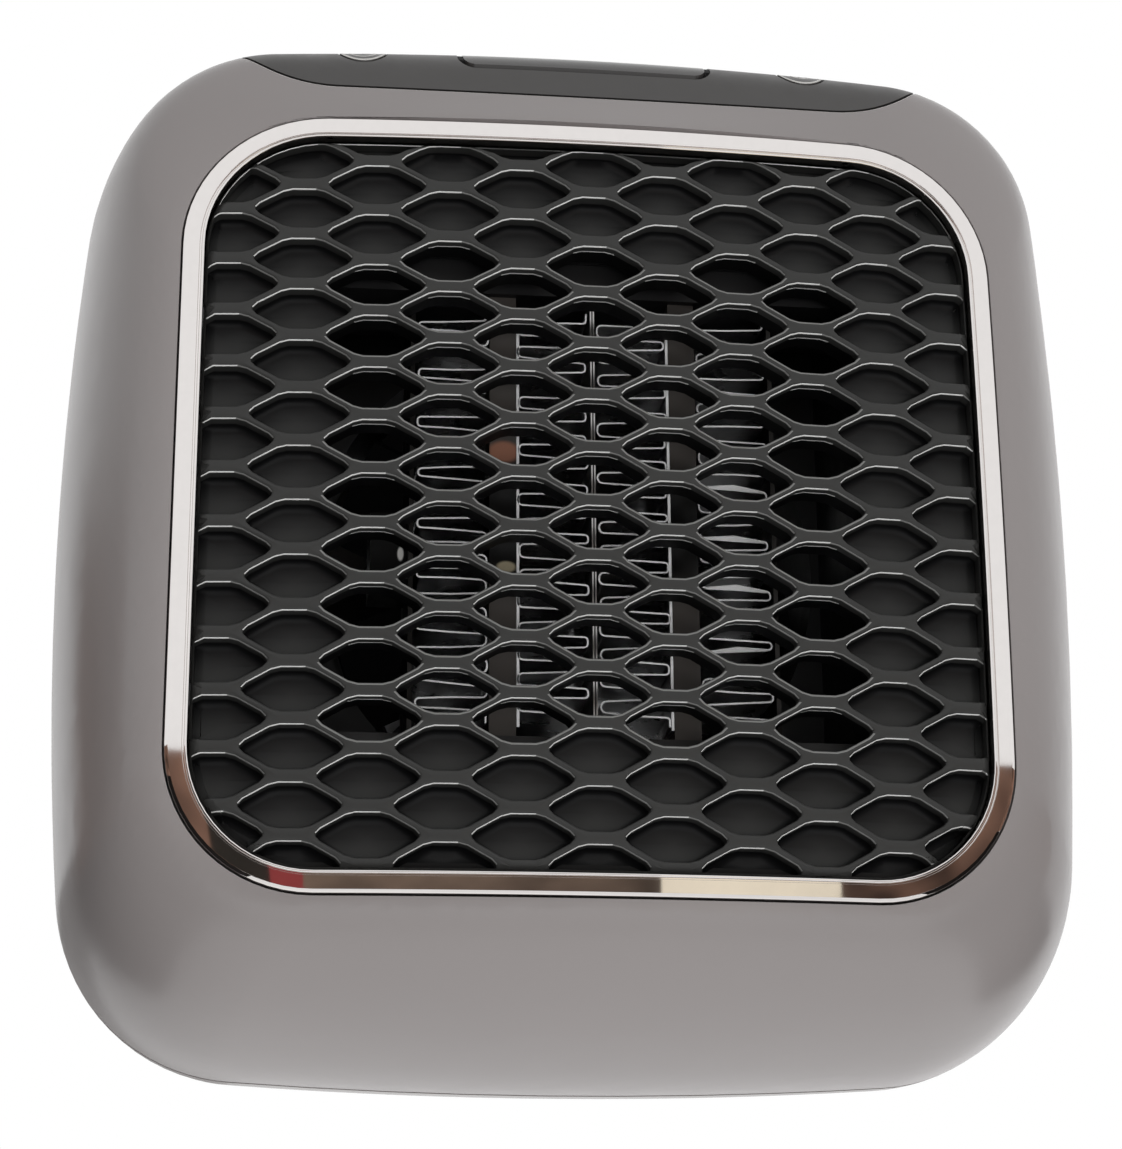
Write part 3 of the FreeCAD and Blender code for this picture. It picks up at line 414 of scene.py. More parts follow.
class HEATER_OT_chrome_ring(bpy.types.Operator):
    """Plated ring with a wide band, a fine groove and a bead along its inner edge"""
    bl_idname = "heater.chrome_ring"
    bl_label = "Chrome ring"

    def execute(self, context):
        s = sizes()
        facing = Matrix.Translation((0, 0, s.ring_mid)) @ Matrix.Rotation(math.pi / 2, 4, "X")
        bm = rounded_card(facing, s.ring_x - RING_GAP, s.ring_z - RING_GAP, s.ring_corner - RING_GAP,
                          RING_ARC_STEPS, RING_SIDE_CUTS)
        outer = bm.edges[:]
        for inward, forward in RING_STEPS:
            inset(bm, [largest_face(bm)], inward * MM, forward * MM)
        middle = largest_face(bm)
        inner = middle.edges[:]
        bmesh.ops.delete(bm, geom=[middle], context="FACES_ONLY")
        backs = []
        for loop in (outer, inner):
            made = bmesh.ops.extrude_edge_only(bm, edges=loop)["geom"]
            for vert in only(BMVert, made):
                vert.co.y = s.ring_depth
            backs += [e for e in only(BMEdge, made) if e.is_boundary]
        bmesh.ops.bridge_loops(bm, edges=backs)
        bmesh.ops.recalc_face_normals(bm, faces=bm.faces[:])
        for vert in bm.verts:
            vert.co.y += s.front_y + dome_rise(vert.co.x, vert.co.z)
        finish = metal("chrome_plate", colours().chrome, 0.028, strength=0.003, cloud=0.012)
        even_normals(finished_piece(bm, "ring_trim", "chrome_ring", "chrome", 50.0, finish))
        return {"FINISHED"}


# Grille: kinds of faces, materials after the plain one, and the reach of the cells
RIB, OPEN, BLIND = range(3)
# Materials after the plain one: a bright and a dim painted highlight on the rib edges, painted shade on the
# floors of the blind cells, and painted shade on the rear of the ribs.
PAINTED_HIGHLIGHT, DIM_PAINTED_HIGHLIGHT, POCKET, SHADE = range(1, 5)
COLUMNS_OUT, ROWS_OUT = 6, 8
OPEN_COLUMNS = 3
OPEN_BOTTOM, OPEN_TOP = -25.5 * MM, 28.5 * MM
RIB_CORNER = 0.536 * MM
CELL_MERGE = 0.01 * MM
TRIM_MERGE = 0.1 * MM
POCKET_RIM = 0.5 * MM
POCKET_SLACK = 0.1 * MM


def cell_corners():
    """Points round a cell's opening, each with the corner of the rib pattern that it faces."""
    s = sizes()
    flat_x = s.cell_flat - RIB_CORNER
    point_x = s.cell_pitch_x - flat_x
    corners = []
    for sx, sz in ((1, 1), (-1, 1), (-1, -1), (1, -1)):
        near = (Vector((sx * s.cell_flat, sz * s.cell_high)), (sx * flat_x, sz * s.cell_pitch_z / 2))
        end = (Vector((sx * s.cell_point, sz * s.cell_blunt)), (sx * point_x, 0.0))
        corners += [end, near] if sx * sz > 0 else [near, end]
    points = []
    for i, (corner, facing) in enumerate(corners):
        for neighbour, _ in (corners[i - 1], corners[(i + 1) % len(corners)]):
            side = neighbour - corner
            points.append((corner + side.normalized() * min(s.cell_corner, 0.3 * side.length), facing))
    return points


def is_open(column, z):
    return abs(column) <= OPEN_COLUMNS and OPEN_BOTTOM < z < OPEN_TOP


def row_shift(column):
    """Cells of even columns lie half a pitch higher."""
    return 0.5 if column % 2 == 0 else 0.0


def nearest_cell(x, z):
    """Middle of the cell nearest to a point and whether it is open."""
    s = sizes()
    cells = []
    for column in (math.floor(x / s.cell_pitch_x), math.ceil(x / s.cell_pitch_x)):
        shift = row_shift(column)
        middle = s.cell_pitch_z * (round(z / s.cell_pitch_z - shift) + shift)
        reach = abs(x - s.cell_pitch_x * column) / s.cell_point + abs(z - middle) / s.cell_high
        cells.append((reach, s.cell_pitch_x * column, middle, is_open(column, middle)))
    return min(cells)[1:]


def round_cell(point):
    """Angle of a point about the middle of its cell."""
    return math.atan2(point[-1], point[0])


def lay_cells(bm):
    """Covers the plane with cells and ribs and gives the face layer that tells them apart."""
    s = sizes()
    kind = bm.faces.layers.int.new("kind")
    pairs = sorted(cell_corners(), key=lambda pair: round_cell(pair[0]))
    circle = bmesh.ops.create_circle(bm, cap_ends=True, segments=len(pairs), radius=1.0,
                                     matrix=Matrix.Rotation(math.pi / 2, 4, "X"))["verts"]
    circle = sorted(circle, key=lambda vert: round_cell(vert.co))
    far = {}
    for vert, (near, corner) in zip(circle, pairs):
        vert.co = (near[0], 0.0, near[1])
        far[vert.co.to_tuple(7)] = corner
    made = bmesh.ops.extrude_edge_only(bm, edges=bm.edges[:])["geom"]
    for vert in only(BMVert, made):
        x, z = far[vert.co.to_tuple(7)]
        vert.co = (x, 0.0, z)
    cell = bm.verts[:] + bm.edges[:] + bm.faces[:]
    for column in range(-COLUMNS_OUT, COLUMNS_OUT + 1):
        for row in range(-ROWS_OUT, ROWS_OUT + 1):
            x = s.cell_pitch_x * column
            z = s.cell_pitch_z * (row + row_shift(column))
            copy = bmesh.ops.duplicate(bm, geom=cell)["geom"]
            bmesh.ops.translate(bm, vec=(x, 0, z), verts=only(BMVert, copy))
            for face in only(BMFace, copy):
                if len(face.verts) == len(pairs):
                    face[kind] = OPEN if is_open(column, z) else BLIND
    bmesh.ops.delete(bm, geom=only(BMVert, cell), context="VERTS")
    bmesh.ops.remove_doubles(bm, verts=bm.verts[:], dist=CELL_MERGE)
    return kind


def outline_planes(inward, turns=48):
    """Planes that touch the grille's outline, moved inward."""
    s = sizes()
    corner = s.grille_corner - inward
    for i in range(turns):
        turn = 2 * math.pi * i / turns
        c, d = math.cos(turn), math.sin(turn)
        x = math.copysign(s.grille_x - s.grille_corner, c) + corner * c
        z = math.copysign(s.grille_z - s.grille_corner, d) + corner * d
        yield Vector((x, 0, z + s.ring_mid)), Vector((c, 0, d))


def trim_to_outline(bm, kind):
    """Cuts the cells off at the grille's edge and closes a narrow rim there."""
    s = sizes()
    for inward, clear in ((0.0, True), (s.grille_rim, False), (s.rim_fall, False)):
        for point, normal in outline_planes(inward):
            cut_at(bm, point, normal, clear)
    # Which points merge depends on their order, so that is made the same for every run
    points = sorted(bm.verts, key=lambda vert: vert.co.to_tuple(6))
    bmesh.ops.remove_doubles(bm, verts=points, dist=TRIM_MERGE)
    inner = list(outline_planes(s.grille_rim))
    for face in bm.faces:
        middle = face.calc_center_median()
        if face[kind] and any((middle - point).dot(normal) > 0 for point, normal in inner):
            face[kind] = RIB


def deepen(bm, faces, depth):
    """Extrudes faces backwards and gives them at their new place."""
    made = bmesh.ops.extrude_face_region(bm, geom=faces)["geom"]
    bmesh.ops.translate(bm, vec=(0, depth, 0), verts=only(BMVert, made))
    bmesh.ops.delete(bm, geom=faces, context="FACES_ONLY")
    return only(BMFace, made)


def raise_ribs(bm, kind):
    """Gives the grille its depth, with a lip and a step behind the front of the open ribs, and paints shade
    on the walls behind the step.
    """
    s = sizes()
    thin = bm.verts.layers.int.new("thin")
    holes = [f for f in bm.faces if f[kind] == OPEN]
    for face in holes:
        for vert in face.verts:
            for near in (vert, *(e.other_vert(vert) for e in vert.link_edges)):
                near[thin] = 1
    bmesh.ops.delete(bm, geom=holes, context="FACES")
    made = bmesh.ops.extrude_face_region(bm, geom=bm.faces[:])["geom"]
    for vert in only(BMVert, made):
        vert.co.y = s.rib_depth - s.rib_lip if vert[thin] else s.grille_thick
    backs = [f for f in only(BMFace, made) if all(v[thin] for v in f.verts)]
    backs = deepen(bm, backs, s.rib_lip)
    bmesh.ops.recalc_face_normals(bm, faces=bm.faces[:])
    inset(bm, backs, s.rib_step)
    front = set(bm.faces)
    deepen(bm, backs, s.grille_thick - s.rib_depth)
    # The walls behind the step get painted shade.
    for face in (f for f in bm.faces if f not in front):
        face.material_index = SHADE


def wall_edges(bm, depth):
    """Edges at a depth from which a wall runs forwards or backwards."""
    return [e for e in bm.edges if all(abs(v.co.y - depth) < SAME for v in e.verts)
            and any(abs(f.normal.y) < 0.5 for f in e.link_faces)]


def sink_pockets(bm, kind):
    """Sinks the blind cells to bowls, rounds the front edges and gives the faces of those."""
    s = sizes()
    blind = [f for f in bm.faces if f[kind] == BLIND and f.calc_center_median().y < MM]
    deepen(bm, blind, s.pocket)
    bmesh.ops.recalc_face_normals(bm, faces=bm.faces[:])
    round_off(bm, wall_edges(bm, s.pocket), s.bowl_round, 3)
    return round_off(bm, wall_edges(bm, 0.0), s.cell_round, 2)


def mark_faces(bm, rounded):
    """Tells the materials of the lips, the rounded edges and the bowls: lips and edges facing down get a
    painted highlight, edges on the other slant and upper edges at open cells a dimmer painted highlight,
    and the bowls painted shade.
    """
    s = sizes()
    bm.normal_update()
    lip_start, lip_end = s.rib_depth - s.rib_lip - SAME, s.rib_depth + SAME
    # Lips that face down get a painted highlight.
    for face in (f for f in bm.faces if f.normal.z < -0.9):
        if all(lip_start < v.co.y < lip_end for v in face.verts):
            face.material_index = PAINTED_HIGHLIGHT
    # Rounded edges get painted highlights by the way they face: bright below, dim on the other slant and
    # above open cells.
    for face in rounded:
        middle = face.calc_center_median()
        if face.normal.z < -0.3 and face.normal.y > -0.7:
            face.material_index = DIM_PAINTED_HIGHLIGHT if face.normal.x < -0.2 else PAINTED_HIGHLIGHT
        elif face.normal.z > 0.1 and face.normal.y < -0.7 and nearest_cell(middle.x, middle.z)[2]:
            face.material_index = DIM_PAINTED_HIGHLIGHT
    floors = [f for f in bm.faces
              if len(f.verts) > 5 and abs(f.calc_center_median().y - s.pocket) < SAME]
    bmesh.ops.poke(bm, faces=floors)
    # Floors and bowls of the blind cells get painted shade.
    for face in (f for f in bm.faces if f.material_index != SHADE and f.normal.y < -0.15):
        if POCKET_RIM < face.calc_center_median().y < s.pocket + POCKET_SLACK:
            face.material_index = POCKET


def shade_pockets(bm):
    """Stores painted shade for each point of a blind cell: dark under its upper edge and at its ends."""
    s = sizes()
    shade = bm.verts.layers.float.new("pocket_painted_light")
    for vert in bm.verts:
        x, z, _ = nearest_cell(vert.co.x, vert.co.z)
        height = 0.5 - (vert.co.z - z) / (2 * s.cell_high)
        vert[shade] = height * (1 - 0.85 * min(1.0, abs(vert.co.x - x) / s.cell_point) ** 2)


def bend_to_dome(bm):
    """Bends the grille to the dome and lets its edge fall away under the ring."""
    s = sizes()
    fall = list(outline_planes(s.rim_fall))
    for vert in bm.verts:
        out = max(0.0, *((vert.co - point).dot(normal) for point, normal in fall))
        vert.co.y += s.rim_drop * (out / s.rim_fall) ** 2
        vert.co.y += s.front_y + dome_rise(vert.co.x, vert.co.z)


def pocket_finish(name, deep, light):
    """Floors of the blind cells with painted shade: dark under their upper edge, as light as the ribs
    below.
    """
    finish, tree, shader, place = new_finish(name)
    shade = tree.nodes.new("ShaderNodeAttribute")
    shade.attribute_name = "pocket_painted_light"
    fade = map_range(tree, shade.outputs["Fac"], 0.05, 0.95, run="SMOOTHSTEP")
    gloss = spread(tree, grain(tree, place, 420.0, 3.0), 0.38, 0.46)
    dress(tree, shader, blend(tree, fade, deep, light), gloss, 0.2)
    raise_grain(tree, shader, grain(tree, place, 3200.0), 0.12)
    return finish


class HEATER_OT_grille(bpy.types.Operator):
    """Domed grille of long hexagon cells, open in the middle and blind round it"""
    bl_idname = "heater.grille"
    bl_label = "Grille"

    def execute(self, context):
        c = colours()
        bm = bmesh.new()
        kind = lay_cells(bm)
        trim_to_outline(bm, kind)
        raise_ribs(bm, kind)
        mark_faces(bm, sink_pockets(bm, kind))
        shade_pockets(bm)
        bend_to_dome(bm)
        finishes = (
            moulded("grille_plastic", c.grille, 0.42, 3200.0, 0.16, 0.3),
            # Painted highlights for the rib edges, a bright and a dim copy.
            moulded("grille_edge", c.edge, 0.25, 3200.0, 0.05),
            moulded("grille_edge_dim", c.dim_painted_highlight, 0.3, 3200.0, 0.05),
            pocket_finish("pocket_painted_shade", c.pocket, c.grille),
            # Painted shade for the rear walls of the ribs.
            moulded("rib_shade", c.pocket, 0.5, 3200.0, 0.12, 0.1),
        )
        piece = finished_piece(bm, "cell_grille", "front_grille", "grille_grey", 50.0, *finishes)
        even_normals(piece)
        return {"FINISHED"}


# Case: how far the front lip reaches back, and the narrow gaps that its soft edges lie at
LIP_DEPTH = 14 * MM
LIP_WALL = 3.5 * MM
WALL_GAP = 0.4 * MM
RING_SEAM = 0.35 * MM
RING_SEAM_DEPTH = 9 * MM
PANEL_SEAM = 0.45 * MM
SEAM_ROUND = 0.14 * MM


def ring_offset(x, z):
    """Nearest point of the ring's outline, the distance outside it and its outward direction."""
    s = sizes()
    core = Vector((s.ring_x - s.ring_corner, s.ring_z - s.ring_corner))
    point = Vector((x, z - s.ring_mid))
    held = Vector((max(-core.x, min(core.x, point.x)), max(-core.y, min(core.y, point.y))))
    out = point - held
    away = out.length - s.ring_corner
    out.normalize()
    edge = held + out * s.ring_corner
    return edge.x, edge.y + s.ring_mid, away, out


def flush_lip(bm):
    """Draws the front lip of the shell to the level of the domed ring, fading out over the bezel."""
    s = sizes()
    lip_y = min(v.co.y for v in bm.verts)
    for vert in (v for v in bm.verts if v.co.y - lip_y <= LIP_DEPTH):
        edge_x, edge_z, away, out = ring_offset(vert.co.x, vert.co.z)
        reach = s.bezel_reach - (s.bezel_reach - s.facet_reach) * max(0.0, out.y)
        near = max(0.0, min(1.0, 1 - max(0.0, away) / reach))
        if away < WALL_GAP:
            near *= max(0.0, min(1.0, 1.6 - (vert.co.y - lip_y) / LIP_WALL))
        near = near * near * (3 - 2 * near)
        vert.co.y += (s.front_y + dome_rise(edge_x, edge_z) + s.lip_sink - lip_y) * near


def soften_edges(bm):
    """Rounds the shell's edges round the ring and along the control panel, and gives the rounding along the
    panel a painted highlight.
    """
    panel = surface_of("top_panel")
    bm.normal_update()

    def at_seam(vert):
        away = ring_offset(vert.co.x, vert.co.z)[2]
        by_ring = abs(away) < RING_SEAM and vert.co.y < sizes().front_y + RING_SEAM_DEPTH
        return by_ring or panel.find_nearest(vert.co, PANEL_SEAM)[0] is not None

    edges = [e for e in bm.edges if len(e.link_faces) == 2 and e.calc_face_angle_signed() > math.radians(50)
             and sum(f.normal.y for f in e.link_faces) < 0.9 and all(at_seam(v) for v in e.verts)]
    for face in round_off(bm, edges, SEAM_ROUND, 2):
        middle = face.calc_center_median()
        # Rounded faces along the panel get the lighter copy, a painted highlight.
        if ring_offset(middle.x, middle.z)[2] > MM:
            face.material_index = 1


class HEATER_OT_case(bpy.types.Operator):
    """Grey case of a front and a rear shell"""
    bl_idname = "heater.case"
    bl_label = "Case"

    def execute(self, context):
        finish = polished("shell_plastic", colours().shell, 0.25)
        # Lighter copy of the shell plastic: a painted highlight on the rounded edges along the panel.
        light = polished("shell_painted_highlight", tone(206, 202, 200), 0.25)
        wear_on(finish, "rear_shell")
        bm = bmesh.new()
        bm.from_mesh(NODES["front_shell"].data)
        bmesh.ops.remove_doubles(bm, verts=bm.verts[:], dist=SAME)
        flush_lip(bm)
        soften_edges(bm)
        even_normals(finished_piece(bm, "front_case", "front_shell", "shell_grey", 35.0, finish, light))
        return {"FINISHED"}


# Controls: their tilted frame, then sizes of the marks and of the display window, seen square on
CONTROL_TILT = math.radians(28.0)
CONTROL_X = Vector((1.0, 0.0, 0.0))
CONTROL_U = Vector((0.0, math.cos(CONTROL_TILT), math.sin(CONTROL_TILT)))
CONTROL_N = Vector((0.0, -math.sin(CONTROL_TILT), math.cos(CONTROL_TILT)))
CONTROL_ORIGIN = Vector((0.0, GRILLE_LOW.y + 10.1 * MM, 58.73 * MM))
CLEAR_ABOVE = 20 * MM
BUTTON_X, BUTTON_U = 26.2 * MM, -0.8 * MM
MARK_LIFT, MARK_THICK = 0.03 * MM, 0.08 * MM
MARK_LINE = 0.22 * MM
BUTTON_RING = (2.62 * MM, 2.32 * MM)
CLOCK_RING = (1.62 * MM, 1.44 * MM)
MINUTE_HAND, HOUR_HAND = 1.25 * MM, 0.9 * MM
POWER_RING = (1.15 * MM, 0.95 * MM)
POWER_START, POWER_TURN = 125.0, 290.0
POWER_FOOT, POWER_BAR = 0.35 * MM, 1.15 * MM
LENS_U = 0.5 * MM
LENS_HALF_X, LENS_HALF_U = 14.4 * MM, 4.0 * MM
SEAL_GAP, SEAL_PLAY = 0.66 * MM, 0.04 * MM
SEAL_CORNER = 2.1 * MM
SEAL_ARC_STEPS, SEAL_SIDE_CUTS = 8, 24
SEAL_SINK, SEAL_THICK = 0.06 * MM, 1.0 * MM
PANEL_REACH = 0.5 * MM


def on_controls(surface, x, u, lift):
    """The point of a surface under x, u of the tilted control frame, lifted off it."""
    above = CONTROL_ORIGIN + CONTROL_X * x + CONTROL_U * u + CONTROL_N * CLEAR_ABOVE
    hit = surface.ray_cast(above, -CONTROL_N)[0]
    if hit is None:
        raise RuntimeError("no surface under the controls")
    return hit + CONTROL_N * lift


def thicken_down(bm, thick):
    """Gives flat faces of the controls a thickness below them."""
    made = bmesh.ops.extrude_face_region(bm, geom=bm.faces[:])["geom"]
    for vert in only(BMVert, made):
        vert.co -= CONTROL_N * thick
    bmesh.ops.recalc_face_normals(bm, faces=bm.faces[:])


def add_ring(bm, radii, start=0.0, turn=360.0):
    """A flat ring, or part of one, about the origin."""
    begin = Matrix.Rotation(math.radians(start), 3, "Z")
    ends = [begin @ Vector((radius, 0, 0)) for radius in reversed(radii)]
    sweep(bm, ends, turn, max(6, int(turn / 8)), turn >= 360)


def add_bar(bm, x, u, wide, high):
    """A flat bar that stands on x, u."""
    add_card(bm, Matrix.Translation((x, u + high / 2, 0)), wide, high)


def button_marks(name, node, side, finish):
    """Light ring and sign of a button: clock hands on the left, the on-off sign on the right."""
    bm = bmesh.new()
    add_ring(bm, BUTTON_RING)
    if side < 0:
        add_bar(bm, 0.0, 0.0, MARK_LINE, MINUTE_HAND)
        add_bar(bm, HOUR_HAND / 2, -MARK_LINE / 2, HOUR_HAND, MARK_LINE)
        add_ring(bm, CLOCK_RING)
    else:
        add_bar(bm, 0.0, POWER_FOOT, MARK_LINE, POWER_BAR)
        add_ring(bm, POWER_RING, POWER_START, POWER_TURN)
    surface = surface_of(node)
    for vert in bm.verts:
        vert.co = on_controls(surface, vert.co.x + side * BUTTON_X, vert.co.y + BUTTON_U, MARK_LIFT)
    thicken_down(bm, MARK_THICK)
    marks = new_object(bm, name, finish)
    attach(marks, NODES[node]["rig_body"])


def beside_gap(place, half):
    """Where the panel begins beside a point in the gap round the window, or the point further in."""
    if abs(place) <= half - 2 * SEAL_GAP:
        return place
    return place * (half + PANEL_REACH) / max(abs(place), half - SEAL_GAP)


def lens_gasket(finish):
    """Black seal in the gap round the display window."""
    half_x, half_u = LENS_HALF_X + SEAL_GAP, LENS_HALF_U + SEAL_GAP
    bm = rounded_card(Matrix.Identity(4), half_x, half_u, SEAL_CORNER, SEAL_ARC_STEPS, SEAL_SIDE_CUTS)
    inset(bm, bm.faces[:], SEAL_GAP - SEAL_PLAY)
    bmesh.ops.delete(bm, geom=[largest_face(bm)], context="FACES")
    surface = surface_of("top_panel", "display_lens")
    for vert in bm.verts:
        x, u = vert.co.x, vert.co.y
        rim = on_controls(surface, beside_gap(x, half_x), beside_gap(u, half_u) + LENS_U, 0.0)
        flat = CONTROL_ORIGIN + CONTROL_X * x + CONTROL_U * (u + LENS_U)
        vert.co = flat + CONTROL_N * ((rim - flat).dot(CONTROL_N) - SEAL_SINK)
    thicken_down(bm, SEAL_THICK)
    seal = new_object(bm, "lens_seal", finish)
    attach(seal, NODES["display_lens"]["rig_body"])


class HEATER_OT_controls(bpy.types.Operator):
    """Control panel, display window, buttons and what is under them"""
    bl_idname = "heater.controls"
    bl_label = "Controls"

    def execute(self, context):
        c = colours()
        wear_on(moulded("panel_plastic", c.panel, 0.38, strength=0.08), "top_panel")
        wear_on(moulded("lens_plastic", c.lens, 0.22, strength=0.02), "display_lens")
        wear_on(moulded("button_plastic", c.panel, 0.36, strength=0.06), "timer_button", "power_button")
        wear_on(moulded("display_plastic", tone(214, 214, 210), 0.5), "display_module")
        wear_on(moulded("switch_plastic", tone(18, 18, 19), 0.45), "timer_switch", "power_switch")
        mark = moulded("mark_print", c.mark, 0.4, strength=0.03)
        button_marks("timer_marks", "timer_button", -1, mark)
        button_marks("power_marks", "power_button", 1, mark)
        lens_gasket(moulded("seal_rubber", tone(9, 9, 9), 0.7, strength=0.1, shine=0.2))
        return {"FINISHED"}


# Element: uneven folds, dented ones in the right strip, and marks that the heat has left
FOLD_MARGIN = 0.35 * MM
FOLD_SHIFT, FOLD_RISE, FOLD_SAG = 0.12, 0.14, 0.12
LOOP_SPREAD = (0.8, 1.1)
LOOP_ANGLE = math.radians(60)
DENTED_STRIP = 4
DENTED_FOLDS = (4.9 * MM, -1.3 * MM, -6.8 * MM, -14.0 * MM)
DIVIDER_SHEET, DIVIDER_CORE = 0.16 * MM, 0.16 * MM
CORE_SET_BACK = 2.0 * MM
NEAR_BLACK = tone(12, 12, 12)
TUBE_FRONT = -73.5 * MM
# Spots on the tubes and the cut-out: colour, place, radius and upright stretch
TUBE_SPOTS = (
    # A wide near-black patch darkens the tubes across the middle.
    (NEAR_BLACK, (0.0, TUBE_FRONT, 0.0), 30 * MM, 0.3),
    (tone(146, 102, 83), (-9.6 * MM, TUBE_FRONT, 8.2 * MM), 2.2 * MM, 0.7),
    (tone(160, 150, 126), (-9.3 * MM, TUBE_FRONT, -5.4 * MM), 1.3 * MM, 0.6),
)
CUTOUT_SPOTS = ((tone(236, 234, 230), (-21.0 * MM, -72.0 * MM, -3.8 * MM), 0.42 * MM, 2.3),)


def fold_path(bm, low, high, dice):
    """Points of the folded sheet along its front and, among them, the middles of its legs."""
    s = sizes()
    folds = int(2 * (high.z - low.z) / s.fin_period)
    step = (high.z - low.z - s.fin_loop - 2 * FOLD_MARGIN) / folds
    path, legs = [], []
    for i in range(folds + 1):
        x = low.x + FOLD_MARGIN if i % 2 else high.x - FOLD_MARGIN
        x += dice.uniform(-FOLD_SHIFT, FOLD_SHIFT) * MM
        z = low.z + FOLD_MARGIN + s.fin_loop / 2 + step * i
        z += dice.uniform(-FOLD_RISE, FOLD_RISE) * MM * (0 < i < folds)
        gap = s.fin_loop * dice.uniform(*LOOP_SPREAD) / 2
        if path:
            sag = Vector((0, 0, dice.uniform(-FOLD_SAG, FOLD_SAG) * MM))
            legs.append(bm.verts.new((path[-1].co + Vector((x, low.y, z - gap))) / 2 + sag))
            path.append(legs[-1])
        path += [bm.verts.new((x, low.y, z - gap)), bm.verts.new((x, low.y, z + gap))]
    return path, legs


def fin_strip(number, plate_side, finish, edge):
    """Thin sheet folded to and fro, with a plate along the side that touches its tube."""
    s = sizes()
    node = f"fin_strip_{number}"
    dents = DENTED_FOLDS if number == DENTED_STRIP else ()
    low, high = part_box(node)
    bm = bmesh.new()
    path, legs = fold_path(bm, low, high, random.Random(number))
    edges = [bm.edges.new(pair) for pair in zip(path, path[1:])]
    made = bmesh.ops.extrude_edge_only(bm, edges=edges)["geom"]
    for vert in only(BMVert, made):
        vert.co.y = high.y
    if dents:
        cut_at(bm, (0, low.y + s.dent_depth, 0), (0, 1, 0))
    # Faces of the dented folds get the near-white edge finish as a painted glint.
    for height in dents:
        leg = min(legs, key=lambda v: abs(v.co.z - height))
        leg.co.z += s.dent_rise
        for face in leg.link_faces:
            face.material_index = 1
    bmesh.ops.recalc_face_normals(bm, faces=bm.faces[:])
    loops = [e for e in bm.edges if len(e.link_faces) == 2 and e.calc_face_angle() > LOOP_ANGLE]
    round_off(bm, loops, s.fin_bend, 3, clamp=True)
    bmesh.ops.solidify(bm, geom=bm.faces[:], thickness=s.fin_sheet)
    if plate_side:
        plate_x = high.x - s.fin_sheet if plate_side > 0 else low.x + s.fin_sheet
        add_plate(bm, plate_x, 1.6 * s.fin_sheet, low, high)
    # Front faces of the sheet get the near-white edge finish: the bare cut edge, partly a painted
    # highlight.
    for face in bm.faces:
        if all(vert.co.y < low.y + s.fin_sheet for vert in face.verts):
            face.material_index = 1
    finished_piece(bm, f"fin_folds_{number}", node, "aluminium", 40.0, finish, edge)


def add_plate(bm, x, thick, low, high):
    """An upright plate across the depth of the element."""
    place = Matrix.Translation((x, (low.y + high.y) / 2, (low.z + high.z) / 2))
    size = Matrix.Diagonal((thick, high.y - low.y, high.z - low.z, 1))
    bmesh.ops.create_cube(bm, size=1.0, matrix=place @ size)


def divider_plates(finish):
    """Two thin plates with a core between them that is set back."""
    low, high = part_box("fin_divider")
    bm = bmesh.new()
    middle = (low.x + high.x) / 2
    for side in (-1, 1):
        add_plate(bm, middle + side * (DIVIDER_CORE + DIVIDER_SHEET) / 2, DIVIDER_SHEET, low, high)
    add_plate(bm, middle, DIVIDER_CORE, low + Vector((0, CORE_SET_BACK, 0)), high)
    finished_piece(bm, "divider_plates", "fin_divider", "aluminium", 40.0, finish)


def with_spots(tree, place, base, spots):
    """A colour with spots of other colours over it."""
    for shade, *shape in spots:
        base = blend(tree, spot(tree, place, *shape), base, shade)
    return base


def tube_film(name, base):
    """Dark film over the tubes, darker across the middle and browned by the heat in places."""
    finish, tree, shader, place = new_finish(name)
    gloss = spread(tree, grain(tree, place, 500.0), 0.28, 0.42)
    dress(tree, shader, with_spots(tree, place, base, TUBE_SPOTS), gloss, 0.15)
    raise_grain(tree, shader, grain(tree, place, 900.0, 3.0, (1.0, 1.0, 0.2)), 0.15, 0.03 * MM)
    return finish


def cutout_finish(name):
    """Body painted near-black as shade, with a bare pale spot at its inner end."""
    finish, tree, shader, place = new_finish(name)
    gloss = spread(tree, grain(tree, place, 600.0), 0.4, 0.55)
    # The near-black body colour is painted shade.
    dress(tree, shader, with_spots(tree, place, NEAR_BLACK, CUTOUT_SPOTS), gloss, 0.12)
    raise_grain(tree, shader, grain(tree, place, 1500.0), 0.2)
    return finish


class HEATER_OT_element(bpy.types.Operator):
    """Heating element: fins, tubes, divider, end plates and terminals"""
    bl_idname = "heater.element"
    bl_label = "Heating element"

    def execute(self, context):
        c = colours()
        sheet = metal("fin_aluminium", c.fin, 0.3, UPRIGHT)
        # Near-white finish for the cut edges, partly a painted highlight, and for painted glints on the
        # dents.
        edge = metal("fin_edge_and_painted_glint", c.fin_edge_and_painted_glint, 0.45, bare=0.0)
        for number, plate_side in ((1, 0), (2, -1), (3, 1), (4, 0)):
            fin_strip(number, plate_side, sheet, edge)
        divider_plates(metal("plate_aluminium", tone(196, 195, 193), 0.35, UPRIGHT))
        wear_on(metal("end_aluminium", tone(48, 47, 46), 0.4, UPRIGHT), "fin_end_left", "fin_end_right")
        wear_on(tube_film("tube_film", c.tube), "heater_tube_left", "heater_tube_right")
        wear_on(cutout_finish("cutout_case"), "thermal_cutout")
        wear_on(metal("plain_brass", tone(208, 178, 112), 0.3), "heater_terminals", "contact_ring_outer",
                "contact_ring_inner", "wiper_left", "wiper_right")
        return {"FINISHED"}


